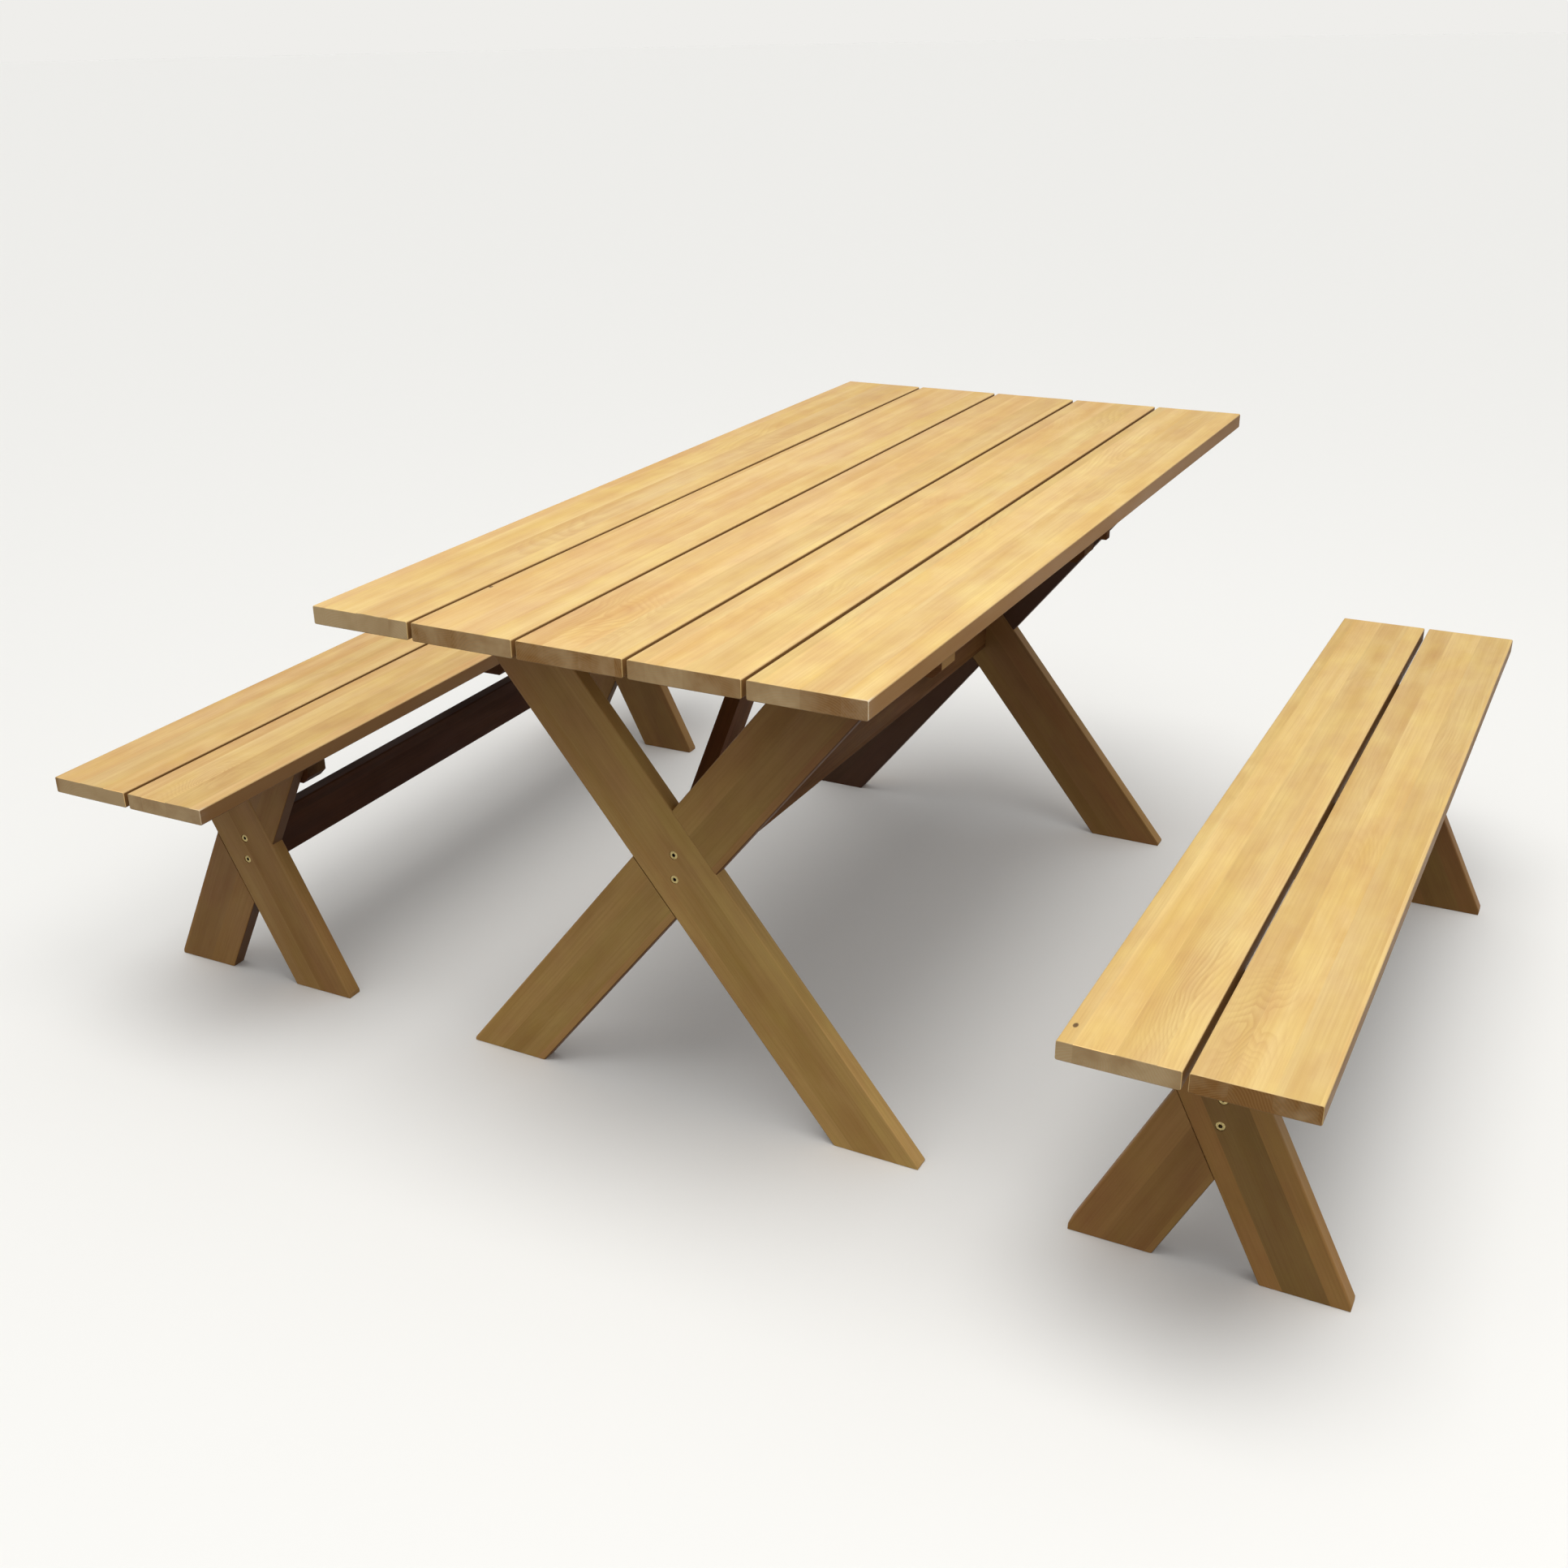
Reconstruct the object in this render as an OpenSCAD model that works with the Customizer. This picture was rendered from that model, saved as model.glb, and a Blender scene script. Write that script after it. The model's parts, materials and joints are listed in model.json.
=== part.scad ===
// Picnic table set: a plank table on two half-lapped X frames, and two free-standing plank benches
// made the same way. The origin is on the ground, in the middle of the footprint of the whole set.
// +X runs across the table, +Y along its planks, +Z up. The "near" end is the -Y end.

/* [Boards] */
// Thickness of every plank, leg, stretcher and brace
board_t = 24; // [18:1:32]
// Width of a leg board
leg_w = 100; // [80:1:115]
// Radius of the long arrises of the boards
arris_r = 2.5; // [1:0.5:4]
// Length taken off the sharp tip of each foot
foot_tip_cut = 4; // [0:0.5:8]

/* [Table top] */
// Length of the table top
table_l = 1550; // [1400:10:2000]
// Height of the table top above the ground
table_h = 740; // [700:5:780]
// Width of one table plank
table_plank_w = 146; // [120:1:150]
// Number of table planks
table_planks = 5; // [5:1:5]
// Gap between two table planks
table_gap = 6; // [3:0.5:8]

/* [Table frame] */
// Distance between the centre lines of the two feet of an X frame
table_foot_spread = 598; // [560:2:620]
// Height of the crossing of an X frame
table_cross_z = 370; // [350:2:390]
// Height of the centre line of the stretcher
table_stretcher_z = 367; // [350:1:390]
// Distance from the middle of the table to the outer face of an X frame
frame_outer_y = 562; // [540:2:600]

/* [Bench] */
// Length of a bench seat
bench_l = 1550; // [1400:10:2000]
// Height of a bench seat above the ground
bench_h = 406; // [400:2:440]
// Width of one bench plank
bench_plank_w = 135; // [125:1:145]
// Gap between the two bench planks
bench_gap = 7; // [3:0.5:9]
// Distance between the centre lines of the two feet of a bench X frame
bench_foot_spread = 241; // [230:1:260]
// Height of the crossing of a bench X frame
bench_cross_z = 243; // [235:1:250]
// Height of the centre line of a bench stretcher
bench_stretcher_z = 225; // [215:1:235]

/* [Layout] */
// Distance from the middle of the table to the middle of the left bench
left_bench_x = 792; // [760:1:1000]
// How far the left bench stands towards the far end
left_bench_y = 5; // [-20:1:20]
// Turn of the left bench, seen from above
left_bench_turn = 1.1; // [-2:0.1:2]
// Distance from the middle of the table to the middle of the right bench
right_bench_x = 743; // [730:1:1000]
// How far the right bench stands towards the far end
right_bench_y = -26; // [-40:1:20]
// Turn of the right bench, seen from above
right_bench_turn = 0.4; // [-2:0.1:2]

/* [Small members] */
// Height of a stretcher
stretcher_w = 75; // [70:1:85]
// Width of a batten, along the planks
batten_w = 40; // [36:1:45]
// Height of a batten
batten_h = 34; // [30:1:40]
// Size of the cut at the lower corners of a batten
batten_cut = 11; // [4:1:14]
// Distance from a table batten's end to the edge of the top
table_batten_inset = 15; // [12:1:40]
// Distance from the far table batten's end to the edge of the top
far_batten_inset = 31; // [12:1:40]
// Distance from a bench batten's end to the edge of the seat
bench_batten_inset = 14; // [12:1:16]
// Width of a diagonal brace
brace_w = 40; // [36:1:45]

/* [Fasteners] */
// Distance between the two bolts of a crossing
bolt_pitch = 36; // [32:1:40]
// Diameter of a bolt head
bolt_head_d = 12; // [10:0.5:13]
// Diameter of a bolt
bolt_d = 6; // [5:0.5:7]
// Length of a bolt
bolt_l = 60; // [56:1:64]
// Diameter of a barrel nut
nut_d = 10; // [9:0.5:12]
// Diameter of a wood screw
screw_d = 5; // [4:0.5:5]
// Length of a plank screw
plank_screw_l = 50; // [46:1:53]
// Length of a batten screw
batten_screw_l = 56; // [50:1:58]

/* [Hidden] */
$fn = 48;

// Colours of the oiled wood and of the metal
top_colour = "#E2BB76";
frame_colour = "#8A6A3C";
shade_colour = "#6E5330";
steel_colour = "#B8AE8C";

// Clearance round a bolt or screw, and a cutter's overshoot
play = 0.2;
over = 1;

// Widths of the top and of a seat, and the levels of their undersides
table_w = table_planks * table_plank_w + (table_planks - 1) * table_gap;
seat_w = 2 * bench_plank_w + bench_gap;
table_under_z = table_h - board_t;
bench_under_z = bench_h - board_t;
frame_inner_y = frame_outer_y - board_t;

// Slope of the legs from the ground
table_leg_angle = atan(2 * table_cross_z / table_foot_spread);
bench_leg_angle = atan(2 * bench_cross_z / bench_foot_spread);

// How far the feet of an X frame reach from its middle, with the tip cut off
function foot_reach(spread, angle) = spread / 2 + leg_w / 2 / sin(angle) - foot_tip_cut;
table_foot_x = foot_reach(table_foot_spread, table_leg_angle);
bench_foot_x = foot_reach(bench_foot_spread, bench_leg_angle);

// Half sizes of the ground that a turned bench covers, along X and along Y
function bench_reach_x(turn) = bench_foot_x * cos(turn) + frame_outer_y * abs(sin(turn));
function bench_reach_y(turn) = bench_l / 2 * cos(turn) + seat_w / 2 * abs(sin(turn));

// Middle of the whole set's footprint, from the middle of the table
set_x_min = -left_bench_x - bench_reach_x(left_bench_turn);
set_x_max = right_bench_x + bench_reach_x(right_bench_turn);
set_y_min = min(left_bench_y - bench_reach_y(left_bench_turn),
                right_bench_y - bench_reach_y(right_bench_turn));
set_y_max = max(left_bench_y + bench_reach_y(left_bench_turn),
                right_bench_y + bench_reach_y(right_bench_turn));
set_mid = [(set_x_min + set_x_max) / 2, (set_y_min + set_y_max) / 2, 0];

// Where the battens lie along the planks
batten_y = frame_inner_y - batten_w / 2;

// Screw places: either side of a plank's middle, and either side of an arm's middle
table_plank_screw_x = 25;
bench_plank_screw_x = 35;
batten_mid_z = batten_h / 2;
table_arm_x = (table_under_z - batten_mid_z - table_cross_z) / tan(table_leg_angle);
table_arm_screws = [table_arm_x - 30, table_arm_x + 30];
bench_arm_screws = [52, 86];

// Screw heads
screw_head_d = 9.5;
screw_head_h = 2.5;
head_sink = 0.8;
bolt_head_h = 3.5;
nut_l = 18;
nut_inset = 25;

// The brace runs at 45 degrees from the top of the stretcher to the underside of the top
brace_foot_z = table_stretcher_z + stretcher_w / 2;
brace_foot_y = frame_inner_y;
brace_run = table_under_z - brace_foot_z;
brace_slant_w = brace_w * sqrt(2);
// The head screw stops well below the face of the plank above
brace_head_screw_l = 40;

// The small block under the right-hand table plank
block_x = 362;
block_y = 80;
block_size = [30, 15, 26];

// Points of an arc of the arris, round a centre, starting at an angle
arc_steps = 4;
function arc_points(cx, cy, start) =
    [for (i = [0 : arc_steps])
        [cx + arris_r * cos(start + 90 * i / arc_steps), cy + arris_r * sin(start + 90 * i / arc_steps)]];

// Section of a board with its four arrises rounded
module board_section(w, h) {
    x = w / 2 - arris_r;
    y = h / 2 - arris_r;
    polygon(concat(arc_points(x, y, 0), arc_points(-x, y, 90),
                   arc_points(-x, -y, 180), arc_points(x, -y, 270)));
}

// Board along X: w is its size along Y and h its size along Z
module board_along_x(l, w, h) {
    rotate([90, 0, 90])
        linear_extrude(height = l, center = true)
            board_section(w, h);
}

// Board along Y: w is its size along X and h its size along Z
module board_along_y(l, w, h) {
    rotate([90, 0, 0])
        linear_extrude(height = l, center = true)
            board_section(w, h);
}

// Countersunk wood screw along +Z, with the middle of its head's face at the origin
module wood_screw(l) {
    difference() {
        union() {
            cylinder(h = screw_head_h, d1 = screw_head_d, d2 = screw_d);
            cylinder(h = l, d = screw_d);
        }
        translate([0, 0, -over])
            cylinder(h = 1.6 + over, d = 3.4, $fn = 6);
    }
}

// Hole for that screw, with room above its head
module wood_screw_hole(l) {
    cylinder(h = screw_head_h, d1 = screw_head_d + 2 * play, d2 = screw_d + 2 * play);
    cylinder(h = l + play, d = screw_d + 2 * play);
    translate([0, 0, -batten_w])
        cylinder(h = batten_w + play / 2, d = screw_head_d + 2 * play);
}

// Flat-headed bolt along +Z with a hexagon socket, its head a little below the face at the origin
module frame_bolt() {
    translate([0, 0, head_sink])
        difference() {
            union() {
                cylinder(h = bolt_head_h, d1 = bolt_head_d, d2 = bolt_d);
                cylinder(h = bolt_l, d = bolt_d);
            }
            translate([0, 0, -over])
                cylinder(h = 2.4 + over, d = 4.7, $fn = 6);
        }
}

// Hole for that bolt, sunk for its head
module frame_bolt_hole() {
    translate([0, 0, head_sink])
        cylinder(h = bolt_head_h + play, d1 = bolt_head_d + 2 * play, d2 = bolt_d + 2 * play);
    cylinder(h = bolt_l + 3, d = bolt_d + 2 * play);
    translate([0, 0, -over])
        cylinder(h = head_sink + over + play / 2, d = bolt_head_d + 2 * play);
}

// The two bolts of the near crossing, at the height of the stretcher
module at_bolts(stretcher_z) {
    for (side = [-1, 1])
        translate([0, -frame_outer_y, stretcher_z + side * bolt_pitch / 2])
            rotate([-90, 0, 0])
                children();
}

// The places of something at both ends of a table or bench
module at_both_ends() {
    children();
    rotate([0, 0, 180])
        children();
}

// One leg before it is lapped. lean is 1 for upper left to lower right, -1 for the other way.
module leg_blank(lean, angle, cross_z, foot_x, top_z) {
    intersection() {
        translate([0, -frame_outer_y + board_t / 2, cross_z])
            rotate([0, lean * angle, 0])
                board_along_x(3 * cross_z, board_t, leg_w);
        translate([-foot_x, -frame_outer_y - over, 0])
            cube([2 * foot_x, board_t + 2 * over, top_z]);
    }
}

// The half of the thickness that the other leg takes: face is 0 for the outer half, 1 for the inner
module lap_cutter(lean, angle, cross_z, face) {
    translate([0, -frame_outer_y + (face == 0 ? -over : board_t / 2), cross_z])
        rotate([0, lean * angle, 0])
            translate([-cross_z, 0, -leg_w / 2])
                cube([2 * cross_z, board_t / 2 + over, leg_w]);
}

// Leg of the near frame. The front leg runs from upper left to lower right over the outer face.
module near_leg(front, angle, cross_z, foot_x, top_z, stretcher_z, arm_screws) {
    lean = front ? 1 : -1;
    difference() {
        leg_blank(lean, angle, cross_z, foot_x, top_z);
        lap_cutter(-lean, angle, cross_z, front ? 1 : 0);
        at_bolts(stretcher_z)
            frame_bolt_hole();
        batten_screw_places(arm_screws, top_z)
            wood_screw_hole(batten_screw_l);
    }
}

// Places of the screws that run through the near batten into the arms
module batten_screw_places(arm_screws, top_z) {
    for (side = [-1, 1])
        for (x = arm_screws)
            translate([side * x, -frame_inner_y + batten_w - head_sink, top_z - batten_mid_z])
                rotate([90, 0, 0])
                    children();
}

// Places of the screws that run up through a batten into the planks
module plank_screw_places(plank_xs, screw_x, under_z) {
    for (plank_x = plank_xs)
        for (side = [-1, 1])
            translate([plank_x + side * screw_x, 0, under_z - batten_h + head_sink])
                children();
}

// Middles of the planks across the table and across a bench
table_pitch = table_plank_w + table_gap;
table_plank_xs = [for (i = [0 : table_planks - 1]) (i - (table_planks - 1) / 2) * table_pitch];
bench_plank_xs = [-(bench_plank_w + bench_gap) / 2, (bench_plank_w + bench_gap) / 2];

// A plank with the pilot holes of its screws at all three battens
module plank(x, l, w, h, xs, screw_x) {
    difference() {
        translate([x, 0, h - board_t / 2])
            board_along_y(l, w, board_t);
        for (y = [-batten_y, 0, batten_y])
            translate([0, y, 0])
                plank_screw_places(xs, screw_x, h - board_t)
                    cylinder(h = plank_screw_l + play, d = screw_d + 2 * play);
    }
}

// Outline of a batten, seen along the planks: its lower corners are cut off
module batten_outline(half_l) {
    polygon([[-half_l, 0], [-half_l, batten_cut - batten_h], [batten_cut - half_l, -batten_h],
             [half_l - batten_cut, -batten_h], [half_l, batten_cut - batten_h], [half_l, 0]]);
}

// Batten under the planks, centred on y = 0
module batten_blank(half_l, under_z) {
    translate([0, batten_w / 2, under_z])
        rotate([90, 0, 0])
            linear_extrude(height = batten_w)
                batten_outline(half_l);
}

// A batten with the holes of its plank screws
module drilled_batten(half_l, under_z, xs, screw_x) {
    difference() {
        batten_blank(half_l, under_z);
        plank_screw_places(xs, screw_x, under_z)
            wood_screw_hole(plank_screw_l);
    }
}

// The near batten, which the arms of the near frame are screwed to
module frame_batten(half_l, under_z, xs, screw_x, arm_screws) {
    difference() {
        translate([0, -batten_y, 0])
            drilled_batten(half_l, under_z, xs, screw_x);
        batten_screw_places(arm_screws, under_z)
            wood_screw_hole(batten_screw_l);
    }
}

// Stretcher on edge between the two crossings, drilled for the bolts and the barrel nuts
module stretcher(stretcher_z) {
    difference() {
        translate([0, 0, stretcher_z])
            board_along_y(2 * frame_inner_y, board_t, stretcher_w);
        at_both_ends()
            at_bolts(stretcher_z)
                cylinder(h = bolt_l + 3, d = bolt_d + 2 * play);
        // The nut holes of both ends are drilled from the same side
        for (flip = [0, 1])
            mirror([0, flip, 0])
                at_nuts(stretcher_z)
                    translate([0, 0, -board_t])
                        cylinder(h = board_t + nut_l / 2 + play, d = nut_d + 2 * play);
    }
}

// Places of the barrel nuts at the near end, lying across the stretcher
module at_nuts(stretcher_z) {
    for (side = [-1, 1])
        translate([0, nut_inset - frame_inner_y, stretcher_z + side * bolt_pitch / 2])
            rotate([0, 90, 0])
                children();
}

module barrel_nuts(stretcher_z) {
    color(steel_colour)
        at_both_ends()
            at_nuts(stretcher_z)
                difference() {
                    cylinder(h = nut_l, d = nut_d, center = true);
                    rotate([90, 0, 0])
                        cylinder(h = nut_d + 2 * over, d = bolt_d + 2 * play, center = true);
                }
}

// All the screws that hold the planks to the three battens
module plank_screws(xs, screw_x, under_z) {
    color(steel_colour)
        for (y = [-batten_y, 0, batten_y])
            translate([0, y, 0])
                plank_screw_places(xs, screw_x, under_z)
                    wood_screw(plank_screw_l);
}

// ---- Table ----

module top_plank(i) {
    color(top_colour)
        plank(table_plank_xs[i], table_l, table_plank_w, table_h, [table_plank_xs[i]],
              table_plank_screw_x);
}

module table_leg(front) {
    color(frame_colour)
        near_leg(front, table_leg_angle, table_cross_z, table_foot_x, table_under_z,
                 table_stretcher_z, table_arm_screws);
}

module table_frame_batten(inset) {
    color(shade_colour)
        frame_batten(table_w / 2 - inset, table_under_z, table_plank_xs, table_plank_screw_x,
                     table_arm_screws);
}

module top_batten_middle() {
    color(shade_colour)
        drilled_batten(table_w / 2 - table_batten_inset, table_under_z, table_plank_xs,
                       table_plank_screw_x);
}

module edge_block() {
    color(shade_colour)
        translate([block_x - block_size[0], block_y, table_under_z - block_size[2]])
            cube(block_size);
}

module table_stretcher() {
    color(shade_colour)
        difference() {
            stretcher(table_stretcher_z);
            at_both_ends()
                brace_foot_screw()
                    cylinder(h = batten_screw_l + play, d = screw_d + 2 * play);
        }
}

// Outline of the near brace in the plane of the stretcher, along Y and Z
module brace_outline() {
    polygon([[-brace_foot_y, brace_foot_z], [brace_slant_w - brace_foot_y, brace_foot_z],
             [brace_slant_w + brace_run - brace_foot_y, table_under_z],
             [brace_run - brace_foot_y, table_under_z]]);
}

// Screws at the foot and at the head of the near brace, both upright
module brace_foot_screw() {
    translate([0, 45 - brace_foot_y, brace_foot_z + 27])
        rotate([180, 0, 0])
            children();
}

module brace_head_screw() {
    translate([0, brace_run + 24 - brace_foot_y, table_under_z - 24])
        children();
}

module brace() {
    color(shade_colour)
        difference() {
            translate([-board_t / 2, 0, 0])
                rotate([90, 0, 90])
                    linear_extrude(height = board_t)
                        brace_outline();
            brace_foot_screw()
                wood_screw_hole(plank_screw_l);
            brace_head_screw()
                wood_screw_hole(brace_head_screw_l);
        }
}

module top_plank_middle() {
    difference() {
        top_plank(2);
        at_both_ends()
            brace_head_screw()
                cylinder(h = brace_head_screw_l + play, d = screw_d + 2 * play);
    }
}

module near_frame_bolts() {
    color(steel_colour)
        at_bolts(table_stretcher_z)
            frame_bolt();
}

module top_batten_screws() {
    color(steel_colour)
        at_both_ends()
            batten_screw_places(table_arm_screws, table_under_z)
                wood_screw(batten_screw_l);
}

module brace_screws() {
    color(steel_colour)
        at_both_ends() {
            brace_foot_screw()
                wood_screw(plank_screw_l);
            brace_head_screw()
                wood_screw(brace_head_screw_l);
        }
}

// ---- Bench, in its own frame: its middle on the ground is at the origin ----

module bench_plank(i) {
    color(top_colour)
        plank(bench_plank_xs[i], bench_l, bench_plank_w, bench_h, [bench_plank_xs[i]],
              bench_plank_screw_x);
}

module bench_leg(front) {
    color(frame_colour)
        near_leg(front, bench_leg_angle, bench_cross_z, bench_foot_x, bench_under_z,
                 bench_stretcher_z, bench_arm_screws);
}

module bench_frame_batten() {
    color(shade_colour)
        frame_batten(seat_w / 2 - bench_batten_inset, bench_under_z, bench_plank_xs,
                     bench_plank_screw_x, bench_arm_screws);
}

module bench_batten_middle() {
    color(shade_colour)
        drilled_batten(seat_w / 2 - bench_batten_inset, bench_under_z, bench_plank_xs,
                       bench_plank_screw_x);
}

module bench_stretcher() {
    color(shade_colour)
        stretcher(bench_stretcher_z);
}

module bench_bolts() {
    color(steel_colour)
        at_both_ends()
            at_bolts(bench_stretcher_z)
                frame_bolt();
}

module bench_batten_screws() {
    color(steel_colour)
        at_both_ends()
            batten_screw_places(bench_arm_screws, bench_under_z)
                wood_screw(batten_screw_l);
}

// ---- Places of the table and the benches in the set ----

module at_table() {
    translate(-set_mid)
        children();
}

// The far end is the near end turned half round
module at_table_far() {
    at_table()
        rotate([0, 0, 180])
            children();
}

module at_left() {
    translate([-left_bench_x, left_bench_y, 0] - set_mid)
        rotate([0, 0, left_bench_turn])
            children();
}

module at_left_far() {
    at_left()
        rotate([0, 0, 180])
            children();
}

module at_right() {
    translate([right_bench_x, right_bench_y, 0] - set_mid)
        rotate([0, 0, right_bench_turn])
            children();
}

module at_right_far() {
    at_right()
        rotate([0, 0, 180])
            children();
}

at_table() top_plank(0);  // top_plank_1
at_table() top_plank(1);  // top_plank_2
at_table() top_plank_middle();  // top_plank_3
at_table() top_plank(3);  // top_plank_4
at_table() top_plank(4);  // top_plank_5
at_table() table_frame_batten(table_batten_inset);  // top_batten_near
at_table() top_batten_middle();
at_table_far() table_frame_batten(far_batten_inset);  // top_batten_far
at_table() edge_block();
at_table() table_leg(true);  // near_frame_front_leg
at_table() table_leg(false);  // near_frame_back_leg
at_table_far() table_leg(true);  // far_frame_front_leg
at_table_far() table_leg(false);  // far_frame_back_leg
at_table() table_stretcher();
at_table() brace();  // near_brace
at_table_far() brace();  // far_brace
at_table() near_frame_bolts();
at_table_far() near_frame_bolts();  // far_frame_bolts
at_table() barrel_nuts(table_stretcher_z);  // table_barrel_nuts
at_table()  // top_plank_screws
    plank_screws(table_plank_xs, table_plank_screw_x, table_under_z);
at_table() top_batten_screws();
at_table() brace_screws();

at_left() bench_plank(0);  // left_bench_plank_1
at_left() bench_plank(1);  // left_bench_plank_2
at_left() bench_frame_batten();  // left_bench_batten_near
at_left() bench_batten_middle();  // left_bench_batten_middle
at_left_far() bench_frame_batten();  // left_bench_batten_far
at_left() bench_leg(true);  // left_bench_near_front_leg
at_left() bench_leg(false);  // left_bench_near_back_leg
at_left_far() bench_leg(true);  // left_bench_far_front_leg
at_left_far() bench_leg(false);  // left_bench_far_back_leg
at_left() bench_stretcher();  // left_bench_stretcher
at_left() bench_bolts();  // left_bench_bolts
at_left() barrel_nuts(bench_stretcher_z);  // left_bench_barrel_nuts
at_left()  // left_bench_plank_screws
    plank_screws(bench_plank_xs, bench_plank_screw_x, bench_under_z);
at_left() bench_batten_screws();  // left_bench_batten_screws

at_right() bench_plank(0);  // right_bench_plank_1
at_right() bench_plank(1);  // right_bench_plank_2
at_right() bench_frame_batten();  // right_bench_batten_near
at_right() bench_batten_middle();  // right_bench_batten_middle
at_right_far() bench_frame_batten();  // right_bench_batten_far
at_right() bench_leg(true);  // right_bench_near_front_leg
at_right() bench_leg(false);  // right_bench_near_back_leg
at_right_far() bench_leg(true);  // right_bench_far_front_leg
at_right_far() bench_leg(false);  // right_bench_far_back_leg
at_right() bench_stretcher();  // right_bench_stretcher
at_right() bench_bolts();  // right_bench_bolts
at_right() barrel_nuts(bench_stretcher_z);  // right_bench_barrel_nuts
at_right()  // right_bench_plank_screws
    plank_screws(bench_plank_xs, bench_plank_screw_x, bench_under_z);
at_right() bench_batten_screws();  // right_bench_batten_screws
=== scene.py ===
"""Looks of a picnic table with two free-standing benches, laid out as an add-on and run as a script."""

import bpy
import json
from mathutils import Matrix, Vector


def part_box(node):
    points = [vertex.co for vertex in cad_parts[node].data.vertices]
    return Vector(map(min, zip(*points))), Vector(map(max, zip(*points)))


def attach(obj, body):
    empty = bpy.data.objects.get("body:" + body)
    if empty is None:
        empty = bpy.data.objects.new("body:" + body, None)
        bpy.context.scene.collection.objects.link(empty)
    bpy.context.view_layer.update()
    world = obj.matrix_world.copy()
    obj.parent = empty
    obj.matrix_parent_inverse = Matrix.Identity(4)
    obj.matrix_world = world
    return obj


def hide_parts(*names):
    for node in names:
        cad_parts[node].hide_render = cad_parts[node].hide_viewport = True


bl_info = {
    "name": "Picnic table and benches",
    "version": (1, 0, 0),
    "blender": (4, 5, 0),
    "location": "3D View > Sidebar > Picnic Table",
    "description": "Builds the boards, fasteners and materials of a picnic table with two benches",
    "category": "Add Mesh",
}

import json
import zlib

import bmesh
import bpy
import numpy as np
from bpy.props import FloatProperty, FloatVectorProperty, IntProperty, PointerProperty, StringProperty
from bpy.types import Operator, Panel, PropertyGroup
from mathutils import Matrix, Vector

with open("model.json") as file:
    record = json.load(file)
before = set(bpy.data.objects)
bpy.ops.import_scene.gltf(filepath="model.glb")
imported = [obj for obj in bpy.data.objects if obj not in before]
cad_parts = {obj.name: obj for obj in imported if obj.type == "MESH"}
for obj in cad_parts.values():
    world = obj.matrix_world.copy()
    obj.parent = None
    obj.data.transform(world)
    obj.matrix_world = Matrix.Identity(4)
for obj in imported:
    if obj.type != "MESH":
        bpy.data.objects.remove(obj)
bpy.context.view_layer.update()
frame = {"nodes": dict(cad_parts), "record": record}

BODIES = {name: list(nodes) for name, nodes in frame["record"]["behaviour"]["bodies"].items()}
BODY_OF = {node: body for body, nodes in BODIES.items() for node in nodes}

BOLTS = [n for n in BODY_OF if n.endswith("_bolts")]
SCREWS = [n for n in BODY_OF if n.endswith("_screws")]
BARREL_NUTS = [n for n in BODY_OF if n.endswith("_nuts")]
TABLE_PLANKS = [n for n in BODY_OF if n.startswith("top_plank") and n not in SCREWS]
BENCH_PLANKS = [n for n in BODY_OF if "bench_plank" in n and n not in SCREWS]
LEGS = [n for n in BODY_OF if n.endswith("_leg")]
BATTENS = [n for n in BODY_OF if "batten" in n and n not in SCREWS]
STRETCHERS = [n for n in BODY_OF if n.endswith("stretcher")]
BRACES = [n for n in BODY_OF if n.endswith("_brace")]

# Kinds of shader nodes, and settings that many of them share.
ATTRIBUTE, SPLIT, RANGE = "ShaderNodeAttribute", "ShaderNodeSeparateXYZ", "ShaderNodeMapRange"
MATH, VECTOR, MIX = "ShaderNodeMath", "ShaderNodeVectorMath", "ShaderNodeMix"
JOIN, OUTPUT, BUMP = "ShaderNodeCombineXYZ", "ShaderNodeOutputMaterial", "ShaderNodeBump"
NOISE, CHANCE, GLOSSY = "ShaderNodeTexNoise", "ShaderNodeTexWhiteNoise", "ShaderNodeBsdfPrincipled"
ADD, TIMES, TIMES_ADD = {"operation": "ADD"}, {"operation": "MULTIPLY"}, {"operation": "MULTIPLY_ADD"}
DIVIDE, COLOUR, SMOOTH = {"operation": "DIVIDE"}, {"data_type": "RGBA"}, {"interpolation_type": "SMOOTHSTEP"}


# ---- Sizes and colours that a user would change ----


class BoardSettings(PropertyGroup):
    arris: FloatProperty(
        name="Long arris", description="Radius of a plank's long edges", default=0.0025, unit="LENGTH"
    )
    end_arris: FloatProperty(
        name="End arris", description="Radius of the edges round a plank's ends",
        default=0.0012, unit="LENGTH"
    )
    cup: FloatProperty(
        name="Cup", description="Twice the most that a plank's middle sinks", default=0.0005, unit="LENGTH"
    )
    eased: FloatProperty(
        name="Eased edge", description="Width taken off the sawn edges of the frame boards", default=0.0008,
        unit="LENGTH",
    )
    lamella: FloatProperty(
        name="Lamella", description="Usual width of a glued strip", default=0.049, unit="LENGTH"
    )
    ring_gap: FloatProperty(
        name="Growth ring", description="Distance between two growth rings", default=0.003, unit="LENGTH"
    )


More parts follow.
